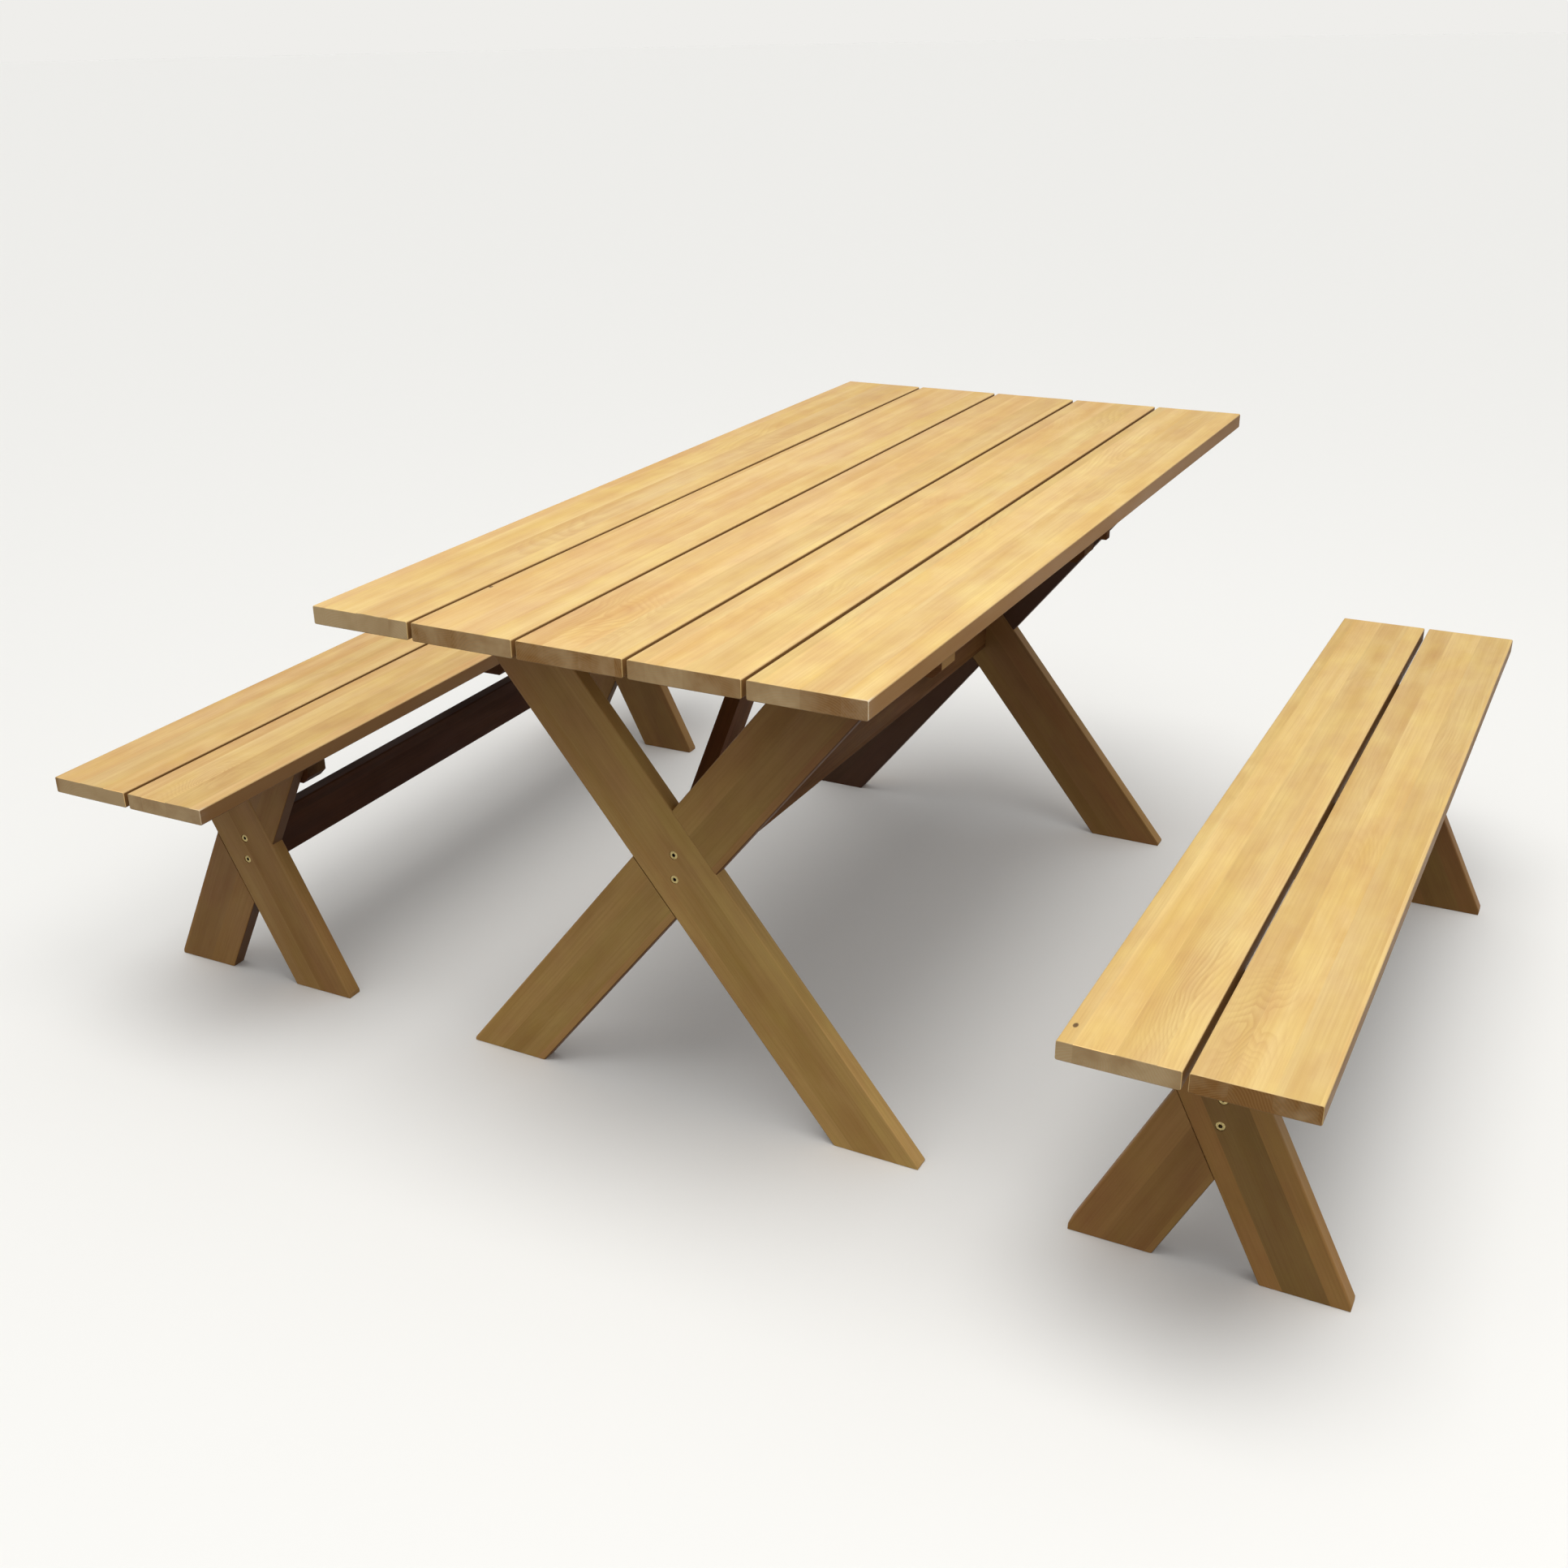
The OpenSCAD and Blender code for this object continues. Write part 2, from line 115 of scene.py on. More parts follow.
class ColourSettings(PropertyGroup):
    """All colours are sRGB hex"""

    top: StringProperty(name="Top", description="Golden oiled wood in the sun", default="#DFB56E")
    top_light: StringProperty(name="Top, light", description="Its palest streaks", default="#EBC98B")
    top_dark: StringProperty(name="Top, dark", description="Its brownest streaks", default="#C8955A")
    leg: StringProperty(name="Frame", description="Oiled wood of the legs", default="#AE8044")
    leg_light: StringProperty(name="Frame, light", description="Its palest streaks", default="#B98D53")
    leg_dark: StringProperty(name="Frame, dark", description="Its brownest streaks", default="#8F672F")
    # The underparts' colours are darker, partly as painted shade under the table and benches.
    under: StringProperty(name="Underparts", description="Stretchers, battens and braces", default="#74492A")
    under_light: StringProperty(name="Under, light", description="Their palest streaks", default="#8A5B36")
    under_dark: StringProperty(name="Under, dark", description="Their brownest streaks", default="#4A2A18")
    zinc: StringProperty(name="Zinc", description="Yellow passivated zinc plate", default="#C2AF78")
    floor: StringProperty(name="Floor", description="Pale studio floor", default="#F2F2F0")
    backdrop: StringProperty(name="Backdrop", description="Pale backdrop", default="#EFEEEB")


class StageSettings(PropertyGroup):
    focal: FloatProperty(name="Focal length", description="On a 36 mm wide sensor, in mm", default=40.26)
    eye: FloatVectorProperty(
        name="Eye", description="Camera from the middle of the table",
        default=(1.0891, -2.3386, 1.4), unit="LENGTH"
    )
    yaw: FloatProperty(name="Yaw", description="Heading from +Y towards +X, in radians", default=-0.5038)
    pitch: FloatProperty(name="Pitch", description="Tilt below the horizon, in radians", default=0.4298)
    roll: FloatProperty(name="Roll", description="Turn about the view line, in radians", default=-0.0198)
    shift_x: FloatProperty(name="Shift X", description="Sideways shift, in frame widths", default=0.0247)
    shift_y: FloatProperty(name="Shift Y", description="Upward shift, in frame widths", default=0.018)
    key: FloatProperty(name="Key light", description="Strength of the soft light from above", default=1.5)
    key_spread: FloatProperty(
        name="Key spread", description="Width of that light", default=0.8, subtype="ANGLE"
    )
    sky: FloatProperty(name="Sky", description="Strength of the even light from above", default=0.5)
    horizon: FloatProperty(
        name="Horizon", description="Strength of the pale band round the floor", default=0.87
    )
    lamp: FloatProperty(
        name="Lamp", description="Power of the light over the right near corner", default=24, unit="POWER"
    )
    bounce: FloatProperty(name="Bounce", description="Strength of the light that comes back up", default=0.12)
    floor_size: FloatProperty(name="Floor size", description="Width of the floor", default=160, unit="LENGTH")


class FastenerSettings(PropertyGroup):
    turns: IntProperty(name="Steps round", description="Steps round a turned head", default=48)


# ---- Small tools ----


def linear(hex_colour):
    """sRGB hex to linear RGBA: c / 12.92 up to 0.04045, above it ((c + 0.055) / 1.055) to the power 2.4."""
    c = np.array([int(hex_colour[i : i + 2], 16) for i in (1, 3, 5)]) / 255
    lin = np.where(c <= 0.04045, c / 12.92, ((c + 0.055) / 1.055) ** 2.4)
    return (*lin.tolist(), 1.0)


def seed_of(name):
    """A whole number from 1 to 997 that is always the same for a name."""
    return zlib.crc32(name.encode()) % 997 + 1


def unit(v):
    return v / np.linalg.norm(v)


def put(tree, kind, settings=(), inputs=()):
    """Adds one shader node. settings are its properties, and inputs its sockets by number or name: a value,
    another node (its first output) or a pair of a node and the name of its output."""
    node = tree.nodes.new(kind)
    for key, value in dict(settings).items():
        setattr(node, key, value)
    for key, value in dict(inputs).items():
        if isinstance(value, bpy.types.Node):
            tree.links.new(value.outputs[0], node.inputs[key])
        elif isinstance(value, tuple) and isinstance(value[0], bpy.types.Node):
            tree.links.new(value[0].outputs[value[1]], node.inputs[key])
        else:
            node.inputs[key].default_value = value
    return node


def read_all(items, key, width=1, kind=np.float64):
    """One property of all of a mesh's points, edges, corners or faces, with so many numbers for each."""
    values = np.empty(len(items) * width, dtype=kind)
    items.foreach_get(key, values)
    return values.reshape(-1, width) if width > 1 else values


def write_layer(mesh, name, kind, domain, values):
    """Adds an attribute to a mesh and fills it with an array."""
    layer = mesh.attributes.new(name, kind, domain)
    key = "vector" if kind == "FLOAT_VECTOR" else "value"
    layer.data.foreach_set(key, np.ascontiguousarray(values, dtype=np.float32).ravel())


def tube_faces(rows, count):
    """Quads of a tube of rings: point j of ring i is number i * count + j, and joins j + 1 and ring i + 1."""
    i, j = np.meshgrid(np.arange(rows - 1), np.arange(count), indexing="ij")
    after = (j + 1) % count
    quads = np.stack([i * count + j, i * count + after, (i + 1) * count + after, (i + 1) * count + j], axis=2)
    return quads.reshape(-1, 4).tolist()


def face_outwards(mesh):
    """Turns all faces of closed shells outwards."""
    bm = bmesh.new()
    bm.from_mesh(mesh)
    bmesh.ops.recalc_face_normals(bm, faces=bm.faces)
    bm.to_mesh(mesh)
    bm.free()


def add_object(name, data):
    """Links a new object to the scene."""
    obj = bpy.data.objects.new(name, data)
    bpy.context.scene.collection.objects.link(obj)
    return obj


def empty_tree(owner):
    """The node tree of a new material or world, emptied."""
    owner.use_nodes = True
    owner.node_tree.nodes.clear()
    return owner.node_tree


def piece_from(name, mesh, node, material):
    """Shows a mesh in place of a CAD node, riding on the node's body."""
    obj = add_object(name, mesh)
    mesh.materials.append(material)
    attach(obj, BODY_OF[node])
    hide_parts(node)
    return obj


# ---- Boards ----

SAME_POINT = 2e-6  # metres between points that are one point
SAME_PLANE = 0.01  # radians between faces that are one flat face
UPWARD = np.array([0.11, 0.2, 1.0])  # up, and leaning a little so that no board's thickness is square to it
LENGTHWISE = 0.7  # a board whose length has this much of +Y in it runs along the set


def merged_copy(node):
    """A copy of a CAD node's mesh in the shared frame, its doubles merged and its flat triangles joined."""
    source = frame["nodes"][node]
    bm = bmesh.new()
    bm.from_mesh(source.data)
    bm.transform(source.matrix_world)
    bmesh.ops.remove_doubles(bm, verts=bm.verts, dist=SAME_POINT)
    bmesh.ops.dissolve_limit(bm, angle_limit=SAME_PLANE, verts=bm.verts, edges=bm.edges)
    return bm


def board_frame(bm):
    """Middle, axes and sizes of a board: along is its longest edge, thick the normal of its largest face, and
    across is square to both. The sizes are the spans of its points along the three axes."""
    edge = max(bm.edges, key=lambda e: e.calc_length())
    along = unit(np.array(edge.verts[1].co - edge.verts[0].co))
    if abs(along[1]) > LENGTHWISE:
        along = along * np.sign(along[1])
    else:
        along = along * np.sign(along[2] + 0.01 * along[0])
    face = max(bm.faces, key=lambda f: f.calc_area())
    thick = np.array(face.normal)
    thick = unit(thick - along * (thick @ along))
    thick = thick * np.sign(thick @ UPWARD)
    across = np.cross(thick, along)
    axes = np.array([along, across, thick])
    local = np.array([v.co for v in bm.verts]) @ axes.T
    low, high = local.min(axis=0), local.max(axis=0)
    return (low + high) / 2 @ axes, axes, high - low


# Tone of each board, partly weathering and partly painted shade: the tone of its outer faces, how much of
# that it loses towards its end (the top end of a leg, the far end of a plank: painted shade), the tone of its
# inner faces (painted shade under the set), the contrast between its glued strips and how grey its sawn ends
# are. The low tones of stretchers, battens and some legs are painted shade too. The first name that is part
# of a board's own name holds for it.
WEATHER_AND_PAINTED_SHADE = {
    "near_frame_front_leg": (1.25, -0.6, 0.5, 0.04, 0.3),
    "near_frame_back_leg": (1.03, -0.64, 0.4, 0.05, 0.3),
    "far_frame_front_leg": (0.95, -0.4, 0.14, 0.04, 0.3),
    "far_frame_back_leg": (0.95, -0.4, 0.58, 0.04, 0.3),
    "left_bench_near_front_leg": (0.84, -0.2, 0.5, 0.04, 0.3),
    "left_bench_near_back_leg": (0.72, -0.2, 0.45, 0.06, 0.3),
    "right_bench_near_front_leg": (0.76, -0.15, 0.5, 0.2, 0.3),
    "right_bench_near_back_leg": (0.76, -0.15, 0.5, 0.08, 0.3),
    "leg": (0.75, -0.15, 0.55, 0.06, 0.3),
    "top_plank_1": (1.02, -0.07, 1.0, 0.05, 1.0),
    "top_plank_3": (1.02, -0.07, 1.0, 0.05, 0.0),
    "top_plank_4": (1.02, -0.07, 1.0, 0.05, 0.35),
    "top_plank": (1.02, -0.07, 1.0, 0.05, 0.45),
    "left_bench_plank": (0.92, -0.04, 0.92, 0.03, 0.9),
    "right_bench_plank_1": (0.97, -0.06, 0.97, 0.05, 0.9),
    "right_bench_plank_2": (0.95, -0.06, 0.95, 0.05, 0.0),
    "bench_stretcher": (0.3, 0.0, 0.3, 0.05, 0.2),
    "table_stretcher": (0.9, 0.0, 0.5, 0.05, 0.2),
    "top_batten_near": (0.9, 0.0, 0.5, 0.05, 1.0),
    "batten": (0.5, 0.0, 0.5, 0.05, 0.2),
    "": (0.75, 0.0, 0.75, 0.05, 0.2),
}

# Where a plank shows a swirl of growth rings: its middle along and across the plank, and its reach both ways.
SWIRLS = {
    "top_plank_3": (-0.66, 0.02, 0.09, 0.05),
    "right_bench_plank_1": (-0.6, -0.03, 0.16, 0.03),
    "right_bench_plank_2": (-0.64, 0.03, 0.1, 0.03),
    "left_bench_plank_2": (-0.68, 0.0, 0.07, 0.03),
}

# Small knots: the place along and across the plank, and the radius.
KNOTS = {"top_plank_2": (-0.617, 0.069, 0.0022), "right_bench_plank_1": (-0.737, 0.058, 0.003)}

# Corners with a pale patch: the end and the edge, as signs along and across the plank.
PALE_CORNERS = {"top_plank_5": (-1, -1), "left_bench_plank_2": (-1, -1)}
PALE_CORNER_REACH = 0.012  # metres
PALE_CORNER_FLAT = 0.12  # the part of that paleness that reaches the flats beside the arrises

# What a face is, from its normal: sawn if it has this much of the board's length, flat if this much of any
# of its axes, inner if it has this much of the way to the middle of the set, and downward if this much of
# down.
SAWN, FLAT, INNER, DOWNWARD = 0.55, 0.93, 0.5, 0.3
DOWNWARD_PAINTED_SHADE = 0.4  # painted shade: the tone that a downward face keeps
TONE_START, TONE_SPAN, TONE_POWER = 0.1, 0.95, 1.4  # where the tone, painted shade towards a board's end, begins to change along it, and how
NOWHERE = 9.0  # metres: far outside every board


def mark_grain(mesh, middle, axes, size, name):
    """Writes what the wood materials read. grain is each point's place in the board: along, across and
    through it, as the dot products of its place from the middle with the axes. glue holds the board's
    number, the width of its lamellas and their shift. knot is the place seen from a knot, with the
    knot's radius. zone holds, for each face, whether it is sawn across the grain, whether it is an
    arris, and how far it faces sideways. swirl is a bell shape, e to the power -(u squared + v squared).
    tone holds, for each face corner, tone * (1 + slope * way to the power 1.4), partly painted shade, the
    strips' contrast (on a sawn end its greyness), and the paleness at a listed pale corner, another bell."""
    board = bpy.context.scene.board_settings
    rng = np.random.default_rng(seed_of(name))
    local = (read_all(mesh.vertices, "co", 3) - middle) @ axes.T
    strips = max(1, round(size[1] / board.lamella + rng.uniform(-0.5, 0.5)))
    width = size[1] / strips
    glue = np.tile([seed_of(name), width, size[1] / 2 + rng.uniform(0.1, 0.9) * width], (len(local), 1))
    knot = KNOTS.get(name)
    seen = np.full((len(local), 3), NOWHERE)
    if knot is not None:
        seen = np.column_stack([local[:, 0] - knot[0], local[:, 1] - knot[1], np.full(len(local), knot[2])])
    for key, values in (("grain", local), ("glue", glue), ("knot", seen)):
        write_layer(mesh, key, "FLOAT_VECTOR", "POINT", values)
    normals = read_all(mesh.polygons, "normal", 3)
    turned = normals @ axes.T
    end = (np.abs(turned[:, 0]) > SAWN).astype(float)
    flat = (np.abs(turned) > FLAT).any(axis=1)
    zone = np.column_stack([end * flat, ~flat, turned[:, 1] * (1 - end)])
    write_layer(mesh, "zone", "FLOAT_VECTOR", "FACE", zone)
    u, v, reach_u, reach_v = SWIRLS.get(name, (NOWHERE, NOWHERE, 1.0, 1.0))
    swirl = np.exp(-(((local[:, 0] - u) / reach_u) ** 2) - ((local[:, 1] - v) / reach_v) ** 2)
    write_layer(mesh, "swirl", "FLOAT", "POINT", swirl)
    outer, slope, inner, contrast, grey = next(values for key, values in WEATHER_AND_PAINTED_SHADE.items() if key in name)
    corners = read_all(mesh.polygons, "loop_total", kind=np.int32)
    vertex = read_all(mesh.loops, "vertex_index", kind=np.int32)
    # Painted shade: inner faces, downward faces and the far or upper end of a board get a darker tone.
    facing_in = normals[:, 1] * np.sign(middle[1]) < -INNER
    shaded = np.where(normals[:, 2] < -DOWNWARD, DOWNWARD_PAINTED_SHADE, 1.0)
    way = np.clip((2 * local[vertex, 0] / size[0] + TONE_START) / TONE_SPAN, 0, 1) ** TONE_POWER
    tone = np.repeat(np.where(facing_in, inner, outer) * shaded, corners) * (1 + slope * way)
    pale_corner = np.zeros(len(vertex))
    if name in PALE_CORNERS:
        gap = size[:2] / 2 - local[:, :2] * PALE_CORNERS[name]
        pale_corner = np.exp(-(np.clip(gap, 0, 1) ** 2 / PALE_CORNER_REACH**2).sum(axis=1))[vertex]
        pale_corner = pale_corner * np.repeat(np.where(flat, PALE_CORNER_FLAT, 1.0), corners)
    strip_or_end = np.repeat(np.where(end > 0, grey, contrast), corners)
    write_layer(mesh, "tone", "FLOAT_VECTOR", "CORNER", np.column_stack([tone, strip_or_end, pale_corner]))


def smooth_arrises(obj, angle=0.62):
    """Shades arrises round and flats flat, with sharp edges by angle and normals weighted by area."""
    obj.data.shade_smooth()
    obj.data.set_sharp_from_angle(angle=angle)
    weigh = obj.modifiers.new("flat_faces", "WEIGHTED_NORMAL")
    weigh.keep_sharp = True
    weigh.weight = 80


ROUNDING = 6  # points on each rounded corner and each rounded end
# Points over a flat, as parts of its half width.
ACROSS = np.array([-0.94, -0.85, -0.6, -0.3, 0, 0.3, 0.6, 0.85, 0.94])
ENDS = np.array([0.004, 0.009, 0.016, 0.025])  # metres from an end to the closer rows of points there
ROWS = 41  # rows of points from end to end
WANDER_ACROSS, WANDER_UP = (0.00012, 9), (0.00015, 5)  # slow waves: height in metres, and radians per metre


def plank_surface(size, arris, end_arris, cup, rng):
    """A rounded rectangle carried along the plank. The section's point at parameter s lies at (half
    width - r) * side + r * cos or sin of the corner's angle, with extra points over the flats. Near each
    end the section shrinks by e * (1 - cos q) while its place moves by e * sin q, q from 0 to a right
    angle, which rounds the end. Each point is then lowered by half of cup * (1 - (2v / width) squared)
    and moved by two slow sines along the plank."""
    corner = np.linspace(0, np.pi / 2, ROUNDING)
    half_w, half_t = size[1] / 2, size[2] / 2
    parts = []
    for turn, (side_v, side_w) in enumerate(((1, 1), (-1, 1), (-1, -1), (1, -1))):
        angle = corner + turn * np.pi / 2
        sides = [np.full(ROUNDING, side_v), np.full(ROUNDING, side_w)]
        parts.append(np.column_stack(sides + [np.cos(angle), np.sin(angle)]))
        if turn in (0, 2):
            level = np.full(len(ACROSS), side_w)
            parts.append(np.column_stack([-ACROSS * side_v, level, np.zeros(len(ACROSS)), level]))
    ring = np.concatenate(parts)
    q = np.linspace(np.pi / 2, 0, ROUNDING)
    start = np.column_stack([-size[0] / 2 + end_arris * (1 - np.sin(q)), end_arris * (1 - np.cos(q))])
    reach = size[0] / 2 - end_arris
    near_end = reach - ENDS
    middle_u = np.concatenate([-near_end, np.linspace(-reach, reach, ROWS)[1:-1], near_end[::-1]])
    middle = np.column_stack([middle_u, np.zeros(len(middle_u))])
    finish = start[::-1] * [-1, 1]
    stations = np.concatenate([start, middle, finish])
    u = np.repeat(stations[:, :1], len(ring), axis=1)
    inset = np.repeat(stations[:, 1:], len(ring), axis=1)
    v = ring[:, 0] * (half_w - arris) + ring[:, 2] * (arris - inset)
    w = ring[:, 1] * (half_t - arris) + ring[:, 3] * (arris - inset)
    v = np.where(np.abs(ring[:, 0]) < 1, ring[:, 0] * (half_w - arris), v)
    w = w - cup * (1 - (v / half_w) ** 2) * 0.5
    phase = rng.uniform(0, 6.28, 2)
    v = v + WANDER_ACROSS[0] * np.sin(u * WANDER_ACROSS[1] + phase[0]) * np.sign(v)
    w = w + WANDER_UP[0] * np.sin(u * WANDER_UP[1] + phase[1])
    points = np.stack([u, v, w], axis=2).reshape(-1, 3)
    rows, count = len(stations), len(ring)
    caps = [list(range(count))[::-1], list(range((rows - 1) * count, rows * count))]
    return points, tube_faces(rows, count) + caps


def build_plank(node, material):
    """Replaces a plank's CAD node by its rounded, slightly cupped surface."""
    board = bpy.context.scene.board_settings
    bm = merged_copy(node)
    middle, axes, size = board_frame(bm)
    bm.free()
    rng = np.random.default_rng(seed_of(node))
    cup = board.cup * rng.uniform(0.3, 1)
    points, faces = plank_surface(size, board.arris, board.end_arris, cup, rng)
    mesh = bpy.data.meshes.new(node + "_wood")
    mesh.from_pydata((points @ axes + middle).tolist(), [], faces)
    face_outwards(mesh)
    mark_grain(mesh, middle, axes, size, node)
    smooth_arrises(piece_from(node + "_wood", mesh, node, material))


TONE_CUTS = np.linspace(-0.42, 0.42, 8)  # parts of a frame board's length, from its middle


def build_sawn_board(node, material):
    """Replaces a frame board's CAD node by a merged copy with its sawn edges and holes eased. Its long
    faces are cut across at a few places, so that its tone has points to change at."""
    board = bpy.context.scene.board_settings
    bm = merged_copy(node)
    middle, axes, size = board_frame(bm)
    for part in TONE_CUTS:
        place = (middle + axes[0] * size[0] * part).tolist()
        everything = bm.verts[:] + bm.edges[:] + bm.faces[:]
        bmesh.ops.bisect_plane(bm, geom=everything, dist=1e-5, plane_co=place, plane_no=axes[0].tolist())
    mesh = bpy.data.meshes.new(node + "_wood")
    bm.to_mesh(mesh)
    bm.free()
    mark_grain(mesh, middle, axes, size, node)
    obj = piece_from(node + "_wood", mesh, node, material)
    ease = obj.modifiers.new("eased_edges", "BEVEL")
    ease.width = board.eased
    ease.segments = 2
    ease.limit_method = "ANGLE"
    ease.angle_limit = 0.9
    ease.use_clamp_overlap = True
    smooth_arrises(obj)


# ---- Materials ----

# Repeats per metre along, across and through a board. A streak is about 0.6 m long and 24 mm wide, a blotch
# 220 by 70 mm, a cloud 140 by 80 mm and a fleck of mottle 70 by 40 mm. Real fibres and saw marks are too
# fine to show, so the fibres are drawn as bundles 2.3 mm wide, and the marks of the saw 1.1 mm apart.
STREAKS, FIBRES, BLOTCHES = (1.6, 42.0, 42.0), (7.0, 430.0, 430.0), (4.5, 15.0, 15.0)
CLOUDS, MOTTLE, SAW_MARKS = (7.0, 13.0, 13.0), (14.0, 26.0, 26.0), (60.0, 60.0, 900.0)
RING_PATCHES, RING_WANDER = (3.2, 9.0, 9.0), (3.4, 11.0, 11.0)
# The first colour is the pale patch at the listed corners.
# The third colour is painted black shade in the fasteners' recesses and round their rims.
PALE_CORNER_COLOUR, KNOT_WOOD, RECESS_SHADE, DULL_ZINC = "#F6EBD6", "#4A2A16", "#1E150C", "#94855A"


def oiled_wood(name, mid, light, dark, ends, edge, ring_strength, worn, gloss):
    """Planed softwood glued from strips and oiled. Gives soft lengthwise streaks, strips of slightly
    different tone, faint growth rings that wander into arches, darker thirsty end grain and paler worn
    arrises. mid, light and dark are its colours, ends a fresh and a grey one for sawn ends, and edge the
    colour of its narrow sides, partly a reddish stain and partly painted shade, or nothing. ring_strength,
    worn and gloss, from 0 to 1, are how clear the rings, how worn the arrises and how shiny it is."""
    board = bpy.context.scene.board_settings
    mat = bpy.data.materials.new(name)
    tree = empty_tree(mat)
    names = ("grain", "glue", "knot", "zone", "tone")
    grain, glue, knot, zone, tone_at = [put(tree, ATTRIBUTE, {"attribute_name": n}) for n in names]
    fields = (grain, glue, zone, tone_at)
    at, glued, face, tone = [put(tree, SPLIT, inputs={0: (field, "Vector")}) for field in fields]

    # The strip that a point lies in, and three chances that differ from strip to strip.
    shifted = put(tree, MATH, ADD, {0: (at, "Y"), 1: (glued, "Z")})
    lane = put(tree, MATH, DIVIDE, {0: shifted, 1: (glued, "Y")})
    strip = put(tree, MATH, {"operation": "FLOOR"}, {0: lane})
    number = put(tree, MATH, {"operation": "ROUND"}, {0: (glued, "X")})
    key = put(tree, MATH, TIMES_ADD, {0: number, 1: 64.0, 2: strip})
    chance = put(tree, CHANCE, {"noise_dimensions": "1D"}, {"W": key})
    luck = put(tree, "ShaderNodeSeparateColor", inputs={0: (chance, "Color")})
    board_chance = put(tree, CHANCE, {"noise_dimensions": "1D"}, {"W": number})
    board_away = put(tree, VECTOR, {"operation": "SCALE"}, {0: (board_chance, "Color"), "Scale": 53.0})
    away = put(tree, VECTOR, {"operation": "SCALE"}, {0: (chance, "Color"), "Scale": 37.0})
    here = put(tree, VECTOR, ADD, {0: (grain, "Vector"), 1: away})

    # Patterns: streaks, fibres, blotches where oil has soaked in, clouds, mottle and where rings show.
    patterns = []
    for repeats, detail in ((STREAKS, 2.0), (FIBRES, 3.0), (BLOTCHES, 3.0)):
        place = put(tree, VECTOR, TIMES, {0: here, 1: repeats})
        patterns.append(put(tree, NOISE, inputs={"Vector": place, "Scale": 1.0, "Detail": detail}))
    broad, fibre, blotch = patterns
    blotch.inputs["Roughness"].default_value, blotch.inputs["Distortion"].default_value = 0.55, 0.2
    grain_far = put(tree, VECTOR, ADD, {0: (grain, "Vector"), 1: board_away})
    cloud_at = put(tree, VECTOR, TIMES, {0: (grain, "Vector"), 1: CLOUDS})
    cloud_place = put(tree, VECTOR, ADD, {0: cloud_at, 1: board_away})
    cloud = put(tree, NOISE, inputs={
        "Vector": cloud_place, "Scale": 1.0, "Detail": 4.0, "Roughness": 0.6, "Distortion": 0.3})
    mottle_at = put(tree, VECTOR, TIMES, {0: grain_far, 1: MOTTLE})
    mottle = put(tree, NOISE, inputs={"Vector": mottle_at, "Scale": 1.0, "Detail": 3.0})
    mask_at = put(tree, VECTOR, TIMES, {0: here, 1: RING_PATCHES})
    mask = put(tree, NOISE, inputs={"Vector": mask_at, "Scale": 1.0, "Detail": 1.5})
    wander_at = put(tree, VECTOR, TIMES, {0: here, 1: RING_WANDER})
    wander = put(tree, NOISE, inputs={"Vector": wander_at, "Scale": 1.0, "Detail": 2.0, "Roughness": 0.45})

    # Growth rings: the distance from the pith, which runs beside the strip and leans along it.
    side = put(tree, MATH, TIMES_ADD, {0: (luck, "Red"), 1: -0.09, 2: 0.045})
    from_side = put(tree, MATH, ADD, {0: (at, "Y"), 1: side})
    lean = put(tree, MATH, TIMES_ADD, {0: (luck, "Blue"), 1: 0.16, 2: -0.08})
    leaned = put(tree, MATH, TIMES, {0: (at, "X"), 1: lean})
    deep = put(tree, MATH, TIMES_ADD, {0: (luck, "Green"), 1: 0.07, 2: 0.02})
    below = put(tree, MATH, ADD, {0: deep, 1: (at, "Z")})
    below_leaned = put(tree, MATH, ADD, {0: below, 1: leaned})
    swirl = put(tree, ATTRIBUTE, {"attribute_name": "swirl"})
    sway = put(tree, MATH, TIMES_ADD, {0: (swirl, "Fac"), 1: 0.05, 2: 0.034})
    waved = put(tree, MATH, TIMES_ADD, {0: wander, 1: sway, 2: below_leaned})
    pith = put(tree, JOIN, inputs={0: from_side, 1: waved, 2: 0.0})
    distance = put(tree, VECTOR, {"operation": "LENGTH"}, {0: pith})
    rings = put(tree, MATH, DIVIDE, {0: (distance, "Value"), 1: board.ring_gap})
    part = put(tree, MATH, {"operation": "FRACT"}, {0: rings})
    late = put(tree, "ShaderNodeValToRGB", inputs={0: part})
    stops = late.color_ramp.elements
    stops[0].position, stops[0].color = 0.25, (0, 0, 0, 1)
    stops[1].position, stops[1].color = 0.82, (1, 1, 1, 1)
    stops.new(1.0).color = (0, 0, 0, 1)
    patch = put(tree, RANGE, SMOOTH, {
        "Value": (mask, "Fac"), "From Min": 0.52, "From Max": 0.68, "To Min": 0.05, "To Max": 0.5})
    shown_or_sawn = put(tree, MATH, {"operation": "MAXIMUM"}, {0: patch, 1: (face, "X")})
    shown = put(tree, MATH, {"operation": "MAXIMUM"}, {0: shown_or_sawn, 1: (swirl, "Fac")})
    ring = put(tree, MATH, TIMES, {0: late, 1: shown})
    ring_amount = put(tree, MATH, TIMES, {0: ring, 1: ring_strength})

